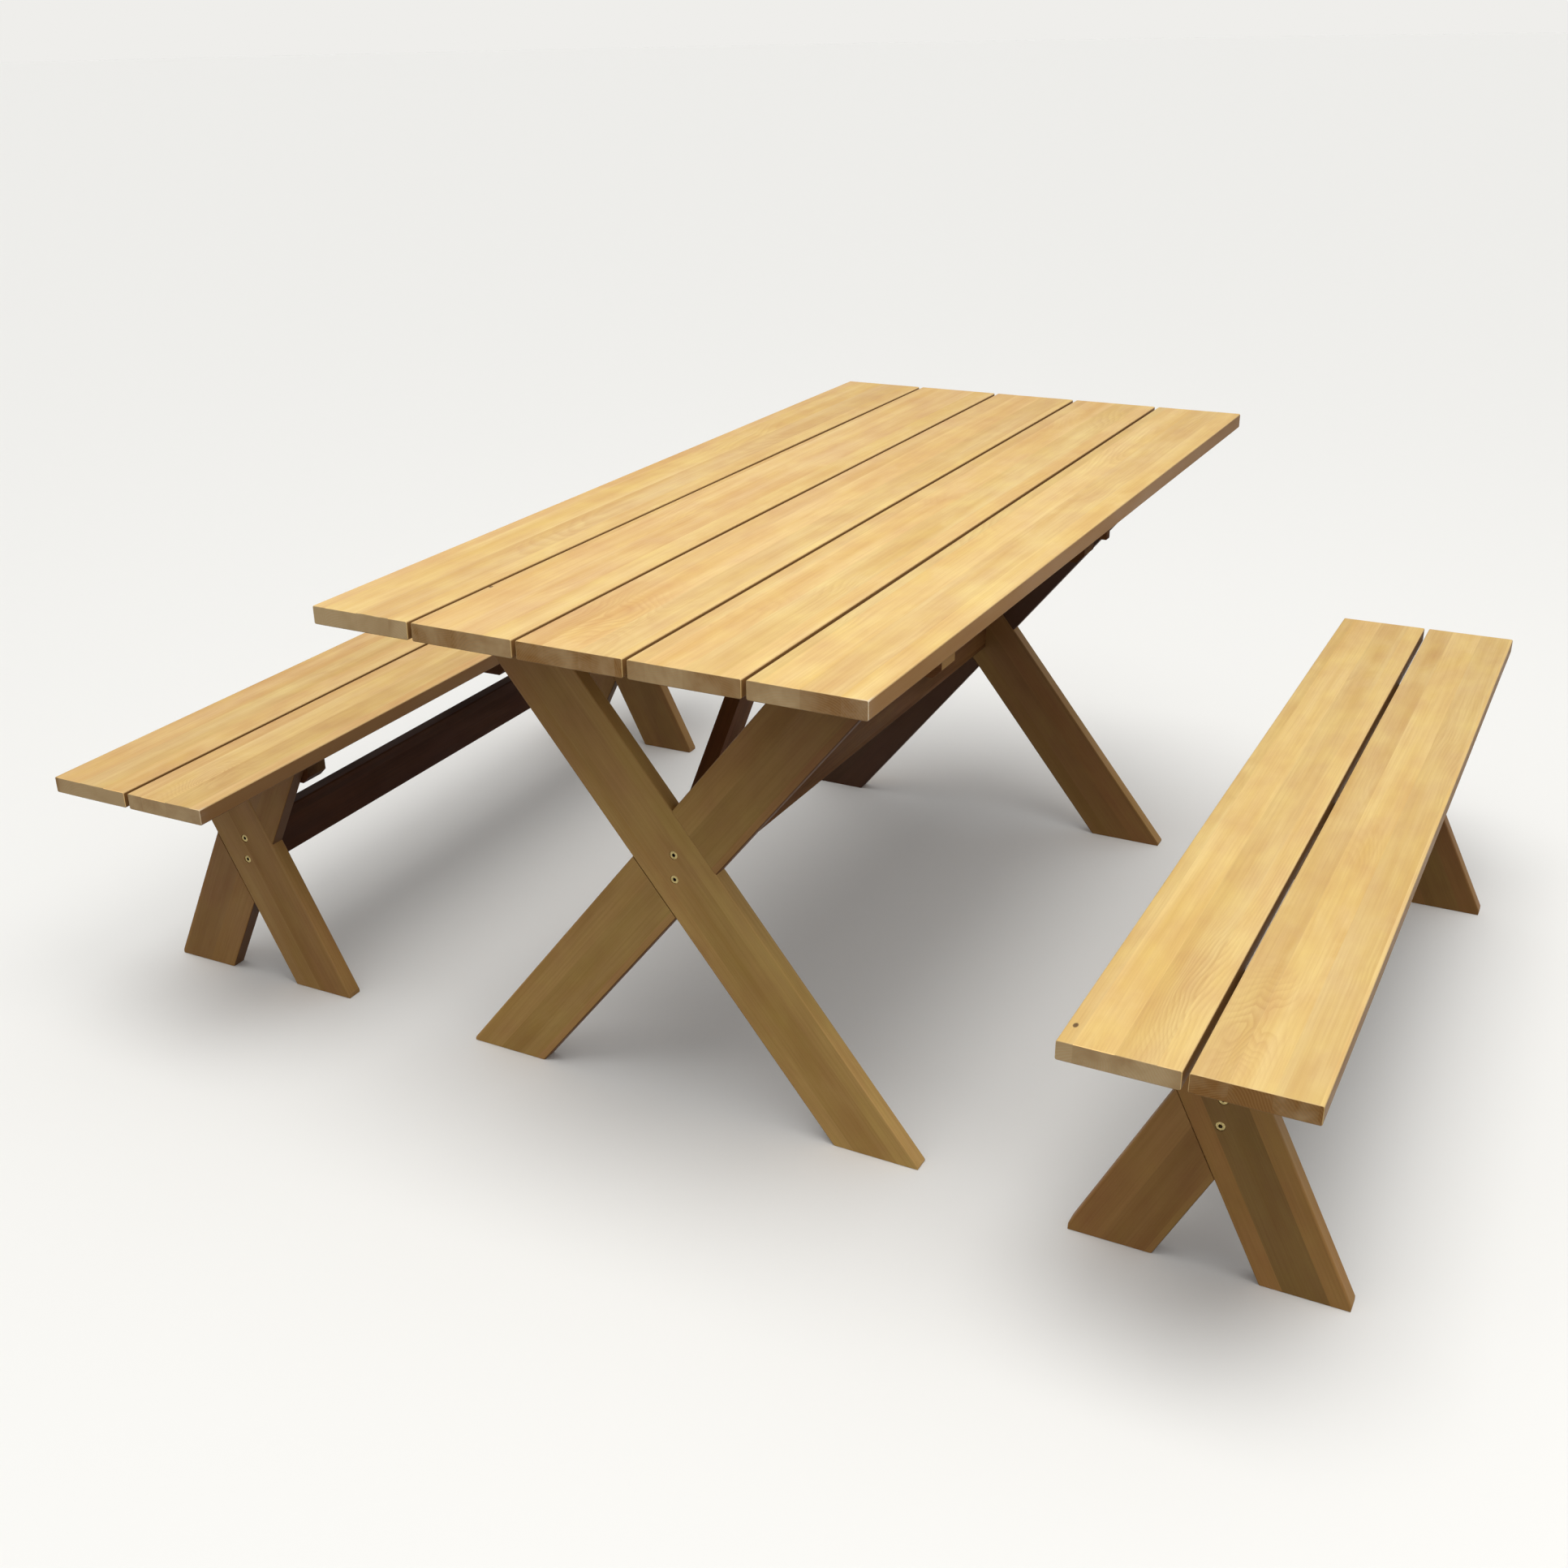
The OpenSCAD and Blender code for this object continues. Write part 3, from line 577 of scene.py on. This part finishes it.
    # Colour, from the broad streaks down to the fibres.
    broad_part = put(tree, RANGE, inputs={"Value": (broad, "Fac"), "From Min": 0.3, "From Max": 0.7})
    streaked = put(tree, MIX, COLOUR, {0: broad_part, 6: linear(mid), 7: linear(light)})
    cloud_part = put(tree, RANGE, SMOOTH, {
        "Value": (cloud, "Fac"), "From Min": 0.5, "From Max": 0.72, "To Max": 0.65})
    clouded = put(tree, MIX, COLOUR, {0: cloud_part, 6: (streaked, 2), 7: linear(light)})
    soaked = put(tree, RANGE, inputs={
        "Value": (blotch, "Fac"), "From Min": 0.44, "From Max": 0.74, "To Max": 0.38})
    blotched = put(tree, MIX, COLOUR, {0: soaked, 6: (clouded, 2), 7: linear(dark)})
    thread = put(tree, RANGE, inputs={
        "Value": (fibre, "Fac"), "From Min": 0.42, "From Max": 0.75, "To Max": 0.3})
    threaded = put(tree, MIX, COLOUR, {0: thread, 6: (blotched, 2), 7: linear(dark)})
    ringed = put(tree, MIX, COLOUR, {0: ring_amount, 6: (threaded, 2), 7: linear(dark)})
    # Each strip's own hue and lightness, then the colour of the narrow sides, partly a reddish stain and
    # partly painted shade.
    hue_strip = put(tree, MATH, TIMES_ADD, {0: (luck, "Red"), 1: 0.012, 2: 0.484})
    hue = put(tree, MATH, TIMES_ADD, {0: (mottle, "Fac"), 1: 0.028, 2: hue_strip})
    odd = put(tree, MATH, {"operation": "FLOORED_MODULO"}, {0: strip, 1: 2.0})
    swing = put(tree, MATH, TIMES_ADD, {0: odd, 1: -1.3, 2: 0.25})
    strip_swing = put(tree, MATH, ADD, {0: swing, 1: (luck, "Blue")})
    cloudy = put(tree, MATH, TIMES_ADD, {0: (mottle, "Fac"), 1: 0.2, 2: 0.9})
    value = put(tree, MATH, TIMES_ADD, {0: strip_swing, 1: (tone, "Y"), 2: cloudy})
    striped = put(tree, "ShaderNodeHueSaturation", inputs={"Hue": hue, "Value": value, "Color": (ringed, 2)})
    sideways = put(tree, MATH, {"operation": "ABSOLUTE"}, {0: (face, "Z")})
    side_shade_and_stain = put(tree, RANGE, SMOOTH, {
        "Value": sideways, "From Min": 0.6, "From Max": 0.98, "To Max": 0.85 if edge else 0.0})
    with_side_shade_and_stain = put(tree, MIX, COLOUR, {0: side_shade_and_stain, 6: striped, 7: linear(edge or mid)})

    # Sawn ends, arrises and knots.
    saw_at = put(tree, VECTOR, TIMES, {0: here, 1: SAW_MARKS})
    saw = put(tree, NOISE, inputs={"Vector": saw_at, "Scale": 1.0, "Detail": 3.0})
    pale = put(tree, RANGE, SMOOTH, {
        "Value": (blotch, "Fac"), "From Min": 0.56, "From Max": 0.68, "To Max": 0.3})
    patchy = put(tree, MATH, TIMES_ADD, {0: (cloud, "Fac"), 1: 2.4, 2: -1.2})
    by_strip = put(tree, MATH, TIMES_ADD, {0: (luck, "Green"), 1: 0.4, 2: -0.2})
    grey_parts = put(tree, MATH, ADD, {0: patchy, 1: by_strip})
    grey = put(tree, MATH, {"operation": "ADD", "use_clamp": True}, {0: grey_parts, 1: (tone, "Y")})
    end_greyed = put(tree, MIX, COLOUR, {0: grey, 6: linear(ends[0]), 7: linear(ends[1])})
    end_paled = put(tree, MIX, COLOUR, {0: pale, 6: (end_greyed, 2), 7: linear(ends[1])})
    end_ring = put(tree, MATH, TIMES, {0: late, 1: 0.3})
    end_ringed = put(tree, MIX, COLOUR, {0: end_ring, 6: (end_paled, 2), 7: linear(dark)})
    sawn = put(tree, MIX, COLOUR, {0: (face, "X"), 6: (with_side_shade_and_stain, 2), 7: (end_ringed, 2)})
    rubbing = put(tree, RANGE, inputs={
        "Value": (broad, "Fac"), "From Min": 0.35, "From Max": 0.65, "To Min": worn * 0.3, "To Max": worn})
    rub = put(tree, MATH, TIMES, {0: rubbing, 1: (face, "Y")})
    rubbed_tone = put(tree, MIX, COLOUR, {0: rub, 6: (sawn, 2), 7: linear(light)})
    # A pale patch at the listed corners, broken up along the fibres.
    corner_fibre = put(tree, MATH, TIMES_ADD, {0: (fibre, "Fac"), 1: 1.2, 2: -0.1})
    corner_paleness = put(tree, MATH, {"operation": "MULTIPLY", "use_clamp": True}, {0: corner_fibre, 1: (tone, "Z")})
    pale_cornered = put(tree, MIX, COLOUR, {0: corner_paleness, 6: (rubbed_tone, 2), 7: linear(PALE_CORNER_COLOUR)})
    knot_xyz = put(tree, SPLIT, inputs={0: (knot, "Vector")})
    knot_u = put(tree, MATH, DIVIDE, {0: (knot_xyz, "X"), 1: 1.7})
    knot_at = put(tree, JOIN, inputs={0: knot_u, 1: (knot_xyz, "Y"), 2: 0.0})
    knot_r = put(tree, VECTOR, {"operation": "LENGTH"}, {0: knot_at})
    knot_part = put(tree, MATH, DIVIDE, {0: (knot_r, "Value"), 1: (knot_xyz, "Z")})
    knot_on = put(tree, RANGE, SMOOTH, {
        "Value": knot_part, "From Min": 0.7, "From Max": 1.2, "To Min": 0.85, "To Max": 0.0})
    knotted = put(tree, MIX, COLOUR, {0: knot_on, 6: (pale_cornered, 2), 7: linear(KNOT_WOOD)})
    # The tone darkens the wood, partly as soaked oil and partly as painted shade, and makes it redder: green
    # and blue fall faster than the tone does.
    green = put(tree, MATH, {"operation": "POWER"}, {0: (tone, "X"), 1: 1.25})
    blue = put(tree, MATH, {"operation": "POWER"}, {0: (tone, "X"), 1: 1.55})
    oil = put(tree, JOIN, inputs={0: (tone, "X"), 1: green, 2: blue})
    shaded_and_weathered = put(tree, VECTOR, TIMES, {0: (knotted, 2), 1: oil})

    # A dull oil finish: smoother on the hard late wood, rough where it is sawn.
    rough = put(tree, RANGE, inputs={
        "Value": (blotch, "Fac"), "From Min": 0.3, "From Max": 0.7, "To Min": 0.5, "To Max": 0.68})
    rough_end = put(tree, MATH, {
        "operation": "MULTIPLY_ADD", "use_clamp": True}, {0: (face, "X"), 1: 0.2, 2: rough})
    fine = put(tree, MATH, TIMES_ADD, {0: ring, 1: 0.5, 2: (fibre, "Fac")})
    sawn_height = put(tree, MIX, {"data_type": "FLOAT"}, {0: (face, "X"), 2: fine, 3: (saw, "Fac")})
    bump = put(tree, BUMP, inputs={"Strength": 0.35, "Distance": 0.0005, "Height": sawn_height})
    shade = put(tree, GLOSSY, inputs={
        "Base Color": shaded_and_weathered, "Roughness": rough_end, "Normal": bump, "IOR": 1.47,
        "Specular IOR Level": gloss})
    put(tree, OUTPUT, inputs={"Surface": shade})
    return mat


def zinc_plate(name):
    """Yellow passivated zinc on steel. Gives a dull straw-coloured metal with cloudy patches and fine
    scuffs, and painted black shade in the recess and round the rim."""
    colours = bpy.context.scene.colour_settings
    mat = bpy.data.materials.new(name)
    tree = empty_tree(mat)
    place = put(tree, "ShaderNodeTexCoord")
    cloud = put(tree, NOISE, inputs={"Vector": (place, "Object"), "Scale": 420.0, "Detail": 3.0})
    scuff = put(tree, NOISE, inputs={"Vector": (place, "Object"), "Scale": 1900.0, "Detail": 2.0})
    tint = put(tree, RANGE, inputs={"Value": (cloud, "Fac"), "From Min": 0.35, "From Max": 0.7})
    base = put(tree, MIX, COLOUR, {0: tint, 6: linear(colours.zinc), 7: linear(DULL_ZINC)})
    # Painted black shade in the recess and round the rim, which is not metallic.
    recess_shade = put(tree, ATTRIBUTE, {"attribute_name": "grime"})
    metal = put(tree, MATH, {"operation": "SUBTRACT"}, {0: 1.0, 1: (recess_shade, "Fac")})
    recess_shaded = put(tree, MIX, COLOUR, {0: (recess_shade, "Fac"), 6: (base, 2), 7: linear(RECESS_SHADE)})
    rough = put(tree, RANGE, inputs={"Value": (scuff, "Fac"), "To Min": 0.28, "To Max": 0.55})
    bump = put(tree, BUMP, inputs={"Strength": 0.2, "Distance": 0.0001, "Height": (scuff, "Fac")})
    shade = put(tree, GLOSSY, inputs={
        "Base Color": (recess_shaded, 2), "Metallic": metal, "Roughness": rough, "Normal": bump})
    put(tree, OUTPUT, inputs={"Surface": shade})
    return mat


def shared(name, make, *details):
    """The material of that name, made once."""
    return bpy.data.materials.get(name) or make(name, *details)


def top_wood():
    colours = bpy.context.scene.colour_settings
    # The last colour, for the narrow sides, is partly a reddish stain and partly painted shade.
    shades = colours.top, colours.top_light, colours.top_dark, ("#90642B", "#D0B588"), "#8A5C2A"
    return shared("golden_oiled_planed_pine", oiled_wood, *shades, 0.52, 0.75, 0.5)


def frame_wood():
    colours = bpy.context.scene.colour_settings
    shades = colours.leg, colours.leg_light, colours.leg_dark, ("#9A7240", "#AE8A58"), ""
    return shared("brown_oiled_planed_pine", oiled_wood, *shades, 0.25, 0.5, 0.4)


def under_wood():
    colours = bpy.context.scene.colour_settings
    # The underparts' colours are darker, partly as painted shade under the table and benches.
    shades = colours.under, colours.under_light, colours.under_dark, ("#5A371F", "#C09B68"), ""
    return shared("dark_oiled_sawn_pine", oiled_wood, *shades, 0.3, 0.3, 0.12)


def yellow_zinc():
    return shared("yellow_zinc_plated_steel", zinc_plate)


# ---- Fasteners ----


HEAD, RIM = 0.9, 0.97  # points this far out, as parts of the largest radius, are the head's and its rim's
OFF_AXIS = [0.31, 0.17, 0.93]  # a direction that no fastener points in
SHADE_DEPTH, SHADE_RIM = 0.0001, 0.965  # painted shade lies deeper than this many metres, and further out than this part


def solids_of(node):
    """The separate solids of a CAD node, each as its points in the shared frame. Every point starts with
    its own number, and each round both ends of every edge take the lower of their two numbers, until
    nothing changes."""
    bm = merged_copy(node)
    mesh = bpy.data.meshes.new("points")
    bm.to_mesh(mesh)
    bm.free()
    points = read_all(mesh.vertices, "co", 3)
    ends = read_all(mesh.edges, "vertices", 2, np.int32)
    bpy.data.meshes.remove(mesh)
    label, before = np.arange(len(points)), None
    while before is None or (label != before).any():
        before = label.copy()
        lowest = label[ends].min(axis=1)
        np.minimum.at(label, ends[:, 0], lowest)
        np.minimum.at(label, ends[:, 1], lowest)
    return [points[label == k] for k in np.unique(label)]


def turned_piece(profile, turns, sides, lobe):
    """A profile turned round its axis. A point at angle a and profile step i lies at radius r_i * f(a)
    and height h_i. f is 1 outside the recess. Inside a recess with flat sides it is cos(pi / sides) over
    the cosine of the angle from the middle of the nearest side, and inside a lobed one it is 1 + lobe *
    cos(sides * a)."""
    a = np.linspace(0, 2 * np.pi, turns, endpoint=False)
    step = 2 * np.pi / sides
    flat = np.cos(step / 2) / np.cos((a + step / 2) % step - step / 2)
    shaped = np.where(lobe > 0, 1 + lobe * np.cos(sides * a), flat)
    r, h, inside = np.array(profile).T
    radius = r[:, None] * (1 + inside[:, None] * (shaped[None, :] - 1))
    points = np.stack([radius * np.cos(a), radius * np.sin(a), np.repeat(h[:, None], turns, axis=1)], axis=2)
    caps = [list(range(turns)), list(range((len(r) - 1) * turns, len(r) * turns))]
    return points.reshape(-1, 3), tube_faces(len(r), turns) + caps


def fastener_frame(points):
    """Head's middle, direction from head to tip, length and radius of a fastener: its axis is the
    direction in which its points spread most, and its head is the wider end."""
    middle = points.mean(axis=0)
    _, _, axes = np.linalg.svd(points - middle)
    axis = axes[0]
    along = (points - middle) @ axis
    off = np.linalg.norm((points - middle) - along[:, None] * axis, axis=1)
    wide = along[off > off.max() * HEAD].mean()
    if abs(wide - along.min()) > abs(wide - along.max()):
        axis, along = -axis, -along
    on_axis = points[off > off.max() * RIM].mean(axis=0) - middle
    on_axis = on_axis - axis * (on_axis @ axis)
    return middle + on_axis + axis * along.min(), axis, along.max() - along.min(), off.max()


def build_fasteners(node, profile_of, sides, lobe):
    """Replaces a group of bolts or screws by turned pieces with a recess in each head, at the places of
    its solids. Each is spun round its axis by up to about a radian, by a number worked out from its
    place."""
    turns = bpy.context.scene.fastener_settings.turns
    all_points, all_faces, all_shade, start = [], [], [], 0
    for solid in solids_of(node):
        head, axis, length, radius = fastener_frame(solid)
        points, faces = turned_piece(profile_of(radius, length), turns, sides, lobe)
        other = unit(np.cross(axis, OFF_AXIS))
        side = np.cross(axis, other)
        spin = (zlib.crc32(np.round(head, 3).tobytes()) % 60) / 57.0
        c, s = np.cos(spin), np.sin(spin)
        all_points.append(points @ np.array([c * other + s * side, c * side - s * other, axis]) + head)
        out = np.hypot(points[:, 0], points[:, 1]) / radius
        # Points in the recess and round the rim take painted black shade.
        all_shade.append((points[:, 2] > SHADE_DEPTH) | (out > SHADE_RIM))
        all_faces += [[i + start for i in face] for face in faces]
        start += len(points)
    mesh = bpy.data.meshes.new(node + "_metal")
    mesh.from_pydata(np.concatenate(all_points).tolist(), [], all_faces)
    face_outwards(mesh)
    write_layer(mesh, "grime", "FLOAT", "POINT", np.concatenate(all_shade))
    smooth_arrises(piece_from(node + "_metal", mesh, node, yellow_zinc()), 0.5)


def bolt_profile(r, length):
    """Radius, depth and recess share of each step: the floor of the hexagon socket, its wall, the flat
    face, the rounded rim, the cone and the shank."""
    return [
        (0.42 * r, 0.003, 1), (0.45 * r, 0.0028, 1), (0.45 * r, 0.0002, 1), (0.48 * r, 0.0, 1),
        (0.55 * r, 0.0, 0), (0.88 * r, 0.0, 0), (0.95 * r, 0.0001, 0), (r, 0.0004, 0), (0.985 * r, 0.0007, 0),
        (0.5 * r, 0.0035, 0), (0.5 * r, length - 0.0008, 0), (0.4 * r, length, 0),
    ]


def screw_profile(r, length):
    """The same for a screw: the star recess, the flat face, the rim, the cone, the shank and the point."""
    return [
        (0.26 * r, 0.0016, 1), (0.3 * r, 0.0014, 1), (0.33 * r, 0.0, 1), (0.5 * r, 0.0, 0),
        (0.93 * r, 0.0, 0), (r, 0.0002, 0), (0.98 * r, 0.0004, 0), (0.5 * r, 0.0025, 0),
        (0.5 * r, length - 0.008, 0), (0.06 * r, length, 0),
    ]


# ---- Stage ----

SENSOR_WIDTH = 36  # mm
VIEW_REACH = 200  # metres, past the whole backdrop
WARM_WHITE = (1.0, 0.985, 0.96)
KEY_FROM, LAMP_FROM = (-0.05, -0.15, 1.0), (1.0, -0.8, 2.8)  # the directions that the lights come from
LAMP_PLACE, LAMP_WIDTH = (1.3, -1.0, 3.4), 2.0
FLOOR_LEVEL = -0.0005  # metres, just below the feet
DOME_TURNS, DOME_RISES = 64, 20
DOME_PART = 0.48  # the backdrop's radius, as a part of the floor's width
FLOOR_BAND, SKY_BAND = (-0.13, -0.06), (0.03, 0.12)  # heights between which the world's light changes


def dome_mesh(radius):
    """A quarter circle turned round the vertical: at turn a and rise e, x and y are radius * cos(e)
    times cos(a) and sin(a), and z is radius * sin(e), from just below the floor to a small closed top."""
    a = np.linspace(0, 2 * np.pi, DOME_TURNS, endpoint=False)
    e = np.linspace(-0.002, np.pi / 2 - 0.01, DOME_RISES)
    out, up = np.cos(e), np.sin(e)
    points = [np.outer(out, np.cos(a)), np.outer(out, np.sin(a)), np.outer(up, np.ones(len(a)))]
    points = radius * np.stack(points)
    top = list(range((DOME_RISES - 1) * DOME_TURNS, DOME_RISES * DOME_TURNS))
    mesh = bpy.data.meshes.new("backdrop")
    mesh.from_pydata(points.reshape(3, -1).T.tolist(), [], tube_faces(DOME_RISES, DOME_TURNS) + [top])
    return mesh


def add_floor(width, colour):
    """Matt studio floor: one even pale tone with almost no gleam. The light that comes back up is the
    world's, so that it can be held low."""
    mesh = bpy.data.meshes.new("floor")
    corner = np.array([[-1, -1], [1, -1], [1, 1], [-1, 1]]) * (width / 2)
    mesh.from_pydata(np.column_stack([corner, np.full(4, FLOOR_LEVEL)]).tolist(), [], [[0, 1, 2, 3]])
    floor = add_object("floor", mesh)
    mat = bpy.data.materials.new("matt_studio_floor")
    mat.use_nodes = True
    shade = mat.node_tree.nodes["Principled BSDF"]
    shade.inputs["Base Color"].default_value = linear(colour)
    shade.inputs["Roughness"].default_value = 0.9
    shade.inputs["Specular IOR Level"].default_value = 0.1
    mesh.materials.append(mat)
    floor.visible_diffuse = False


def add_backdrop(radius, colour):
    """Pale backdrop paper: one even tone behind the set, which is seen and lights nothing."""
    dome = add_object("backdrop", dome_mesh(radius))
    mat = bpy.data.materials.new("pale_backdrop_paper")
    tree = empty_tree(mat)
    glow = put(tree, "ShaderNodeEmission", inputs={"Color": linear(colour), "Strength": 1.0})
    put(tree, OUTPUT, inputs={"Surface": glow})
    dome.data.materials.append(mat)
    dome.visible_diffuse = dome.visible_glossy = dome.visible_shadow = False


def add_light(name, kind, strength, come_from, settings):
    """A warm white light that shines from a direction. settings are those of its kind."""
    data = bpy.data.lights.new(name, kind)
    data.energy = strength
    data.color = WARM_WHITE
    for key, value in settings.items():
        setattr(data, key, value)
    light = add_object(name, data)
    light.rotation_euler = Vector(come_from).to_track_quat("Z", "Y").to_euler()
    return light


def add_world(bounce, horizon, sky):
    """Light by its height: little from below, most from a band round the floor, less from above."""
    world = bpy.data.worlds.new("studio")
    tree = empty_tree(world)
    place = put(tree, "ShaderNodeTexCoord")
    height = put(tree, SPLIT, inputs={0: (place, "Generated")})
    lower = put(tree, RANGE, SMOOTH, {
        "Value": (height, "Z"), "From Min": FLOOR_BAND[0], "From Max": FLOOR_BAND[1],
        "To Min": bounce, "To Max": horizon})
    upper = put(tree, RANGE, SMOOTH, {
        "Value": (height, "Z"), "From Min": SKY_BAND[0], "From Max": SKY_BAND[1],
        "To Min": horizon, "To Max": sky})
    band = put(tree, MATH, {"operation": "MINIMUM"}, {0: lower, 1: upper})
    light = put(tree, "ShaderNodeBackground", inputs={"Color": (1, 1, 1, 1), "Strength": band})
    put(tree, "ShaderNodeOutputWorld", inputs={"Surface": light})
    bpy.context.scene.world = world


# ---- Operators ----


class PICNIC_OT_camera(Operator):
    """Places the camera at the usual three-quarter view"""

    bl_idname = "picnic.camera"
    bl_label = "Camera"

    def execute(self, context):
        s = context.scene.stage_settings
        low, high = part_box("table_stretcher")
        middle = (np.array(low) + np.array(high)) / 2
        eye = np.array(s.eye) + [middle[0], middle[1], 0]
        heading = np.array([np.sin(s.yaw), np.cos(s.yaw), 0])
        forward = heading * np.cos(s.pitch) - [0, 0, np.sin(s.pitch)]
        level = np.array([np.cos(s.yaw), -np.sin(s.yaw), 0])
        upright = np.cross(level, forward)
        right = np.cos(s.roll) * level + np.sin(s.roll) * upright
        up = -np.sin(s.roll) * level + np.cos(s.roll) * upright
        data = bpy.data.cameras.new("camera")
        data.sensor_width = SENSOR_WIDTH
        data.lens = s.focal
        data.shift_x = s.shift_x
        data.shift_y = s.shift_y
        data.clip_end = VIEW_REACH
        camera = add_object("camera", data)
        turn = Matrix(np.column_stack([right, up, -forward]).tolist()).to_4x4()
        camera.matrix_world = Matrix.Translation(Vector(eye.tolist())) @ turn
        context.scene.camera = camera
        return {"FINISHED"}


class PICNIC_OT_stage(Operator):
    """Lays the pale floor and hangs the backdrop and the soft lights"""

    bl_idname = "picnic.stage"
    bl_label = "Floor and lights"

    def execute(self, context):
        s = context.scene.stage_settings
        colours = context.scene.colour_settings
        add_floor(s.floor_size, colours.floor)
        add_backdrop(s.floor_size * DOME_PART, colours.backdrop)
        add_light("key_light", "SUN", s.key, KEY_FROM, {"angle": s.key_spread})
        lamp = add_light("lamp", "AREA", s.lamp, LAMP_FROM, {"shape": "DISK", "size": LAMP_WIDTH})
        lamp.location = LAMP_PLACE
        add_world(s.bounce, s.horizon, s.sky)
        context.scene.view_settings.view_transform = "Standard"
        return {"FINISHED"}


class PICNIC_OT_table_planks(Operator):
    """Builds the planks of the table top"""

    bl_idname = "picnic.table_planks"
    bl_label = "Table planks"

    def execute(self, context):
        for node in TABLE_PLANKS:
            build_plank(node, top_wood())
        return {"FINISHED"}


class PICNIC_OT_bench_planks(Operator):
    """Builds the planks of both benches"""

    bl_idname = "picnic.bench_planks"
    bl_label = "Bench planks"

    def execute(self, context):
        for node in BENCH_PLANKS:
            build_plank(node, top_wood())
        return {"FINISHED"}


class PICNIC_OT_legs(Operator):
    """Builds the half-lapped legs of the six X frames"""

    bl_idname = "picnic.legs"
    bl_label = "Legs"

    def execute(self, context):
        for node in LEGS:
            build_sawn_board(node, frame_wood())
        return {"FINISHED"}


class PICNIC_OT_battens(Operator):
    """Builds the battens under the planks, and the block beside the middle one"""

    bl_idname = "picnic.battens"
    bl_label = "Battens"

    def execute(self, context):
        for node in BATTENS + ["edge_block"]:
            build_sawn_board(node, under_wood())
        return {"FINISHED"}


class PICNIC_OT_stretchers(Operator):
    """Builds the stretchers between the X frames"""

    bl_idname = "picnic.stretchers"
    bl_label = "Stretchers"

    def execute(self, context):
        for node in STRETCHERS:
            build_sawn_board(node, under_wood())
        return {"FINISHED"}


class PICNIC_OT_braces(Operator):
    """Builds the table's diagonal braces"""

    bl_idname = "picnic.braces"
    bl_label = "Braces"

    def execute(self, context):
        for node in BRACES:
            build_sawn_board(node, under_wood())
        return {"FINISHED"}


class PICNIC_OT_bolts(Operator):
    """Builds the bolts of the crossings, each with a hexagon socket"""

    bl_idname = "picnic.bolts"
    bl_label = "Bolts"

    def execute(self, context):
        for node in BOLTS:
            build_fasteners(node, bolt_profile, sides=6, lobe=0.0)
        return {"FINISHED"}


class PICNIC_OT_screws(Operator):
    """Builds the screws of the planks, battens and braces, each with a star recess"""

    bl_idname = "picnic.screws"
    bl_label = "Screws"

    def execute(self, context):
        for node in SCREWS:
            build_fasteners(node, screw_profile, sides=6, lobe=0.16)
        return {"FINISHED"}


class PICNIC_OT_barrel_nuts(Operator):
    """Gives the barrel nuts their zinc plate"""

    bl_idname = "picnic.barrel_nuts"
    bl_label = "Barrel nuts"

    def execute(self, context):
        for node in BARREL_NUTS:
            materials = frame["nodes"][node].data.materials
            materials.clear()
            materials.append(yellow_zinc())
        return {"FINISHED"}


STEPS = (
    PICNIC_OT_camera, PICNIC_OT_stage, PICNIC_OT_table_planks, PICNIC_OT_bench_planks, PICNIC_OT_legs,
    PICNIC_OT_battens, PICNIC_OT_stretchers, PICNIC_OT_braces, PICNIC_OT_bolts, PICNIC_OT_screws,
    PICNIC_OT_barrel_nuts,
)


class VIEW3D_PT_picnic(Panel):
    """The steps of the build, in order"""

    bl_label = "Picnic Table"
    bl_idname = "VIEW3D_PT_picnic"
    bl_space_type = "VIEW_3D"
    bl_region_type = "UI"
    bl_category = "Picnic Table"

    def draw(self, context):
        for step in STEPS:
            self.layout.operator(step.bl_idname, text=step.bl_label)
        for name in GROUPS:
            settings = getattr(context.scene, name)
            box = self.layout.box()
            for key in settings.bl_rna.properties.keys():
                if key not in ("rna_type", "name"):
                    box.prop(settings, key)


GROUPS = {
    "board_settings": BoardSettings,
    "colour_settings": ColourSettings,
    "stage_settings": StageSettings,
    "fastener_settings": FastenerSettings,
}


def register():
    for name, group in GROUPS.items():
        bpy.utils.register_class(group)
        setattr(bpy.types.Scene, name, PointerProperty(type=group))
    for step in STEPS:
        bpy.utils.register_class(step)
    bpy.utils.register_class(VIEW3D_PT_picnic)


def unregister():
    bpy.utils.unregister_class(VIEW3D_PT_picnic)
    for step in reversed(STEPS):
        bpy.utils.unregister_class(step)
    for name, group in GROUPS.items():
        delattr(bpy.types.Scene, name)
        bpy.utils.unregister_class(group)


def main():
    """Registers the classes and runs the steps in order."""
    register()
    bpy.context.view_layer.update()
    for step in STEPS:
        group, name = step.bl_idname.split(".")
        getattr(getattr(bpy.ops, group), name)()
    bpy.context.view_layer.update()


if __name__ == "__main__":
    main()
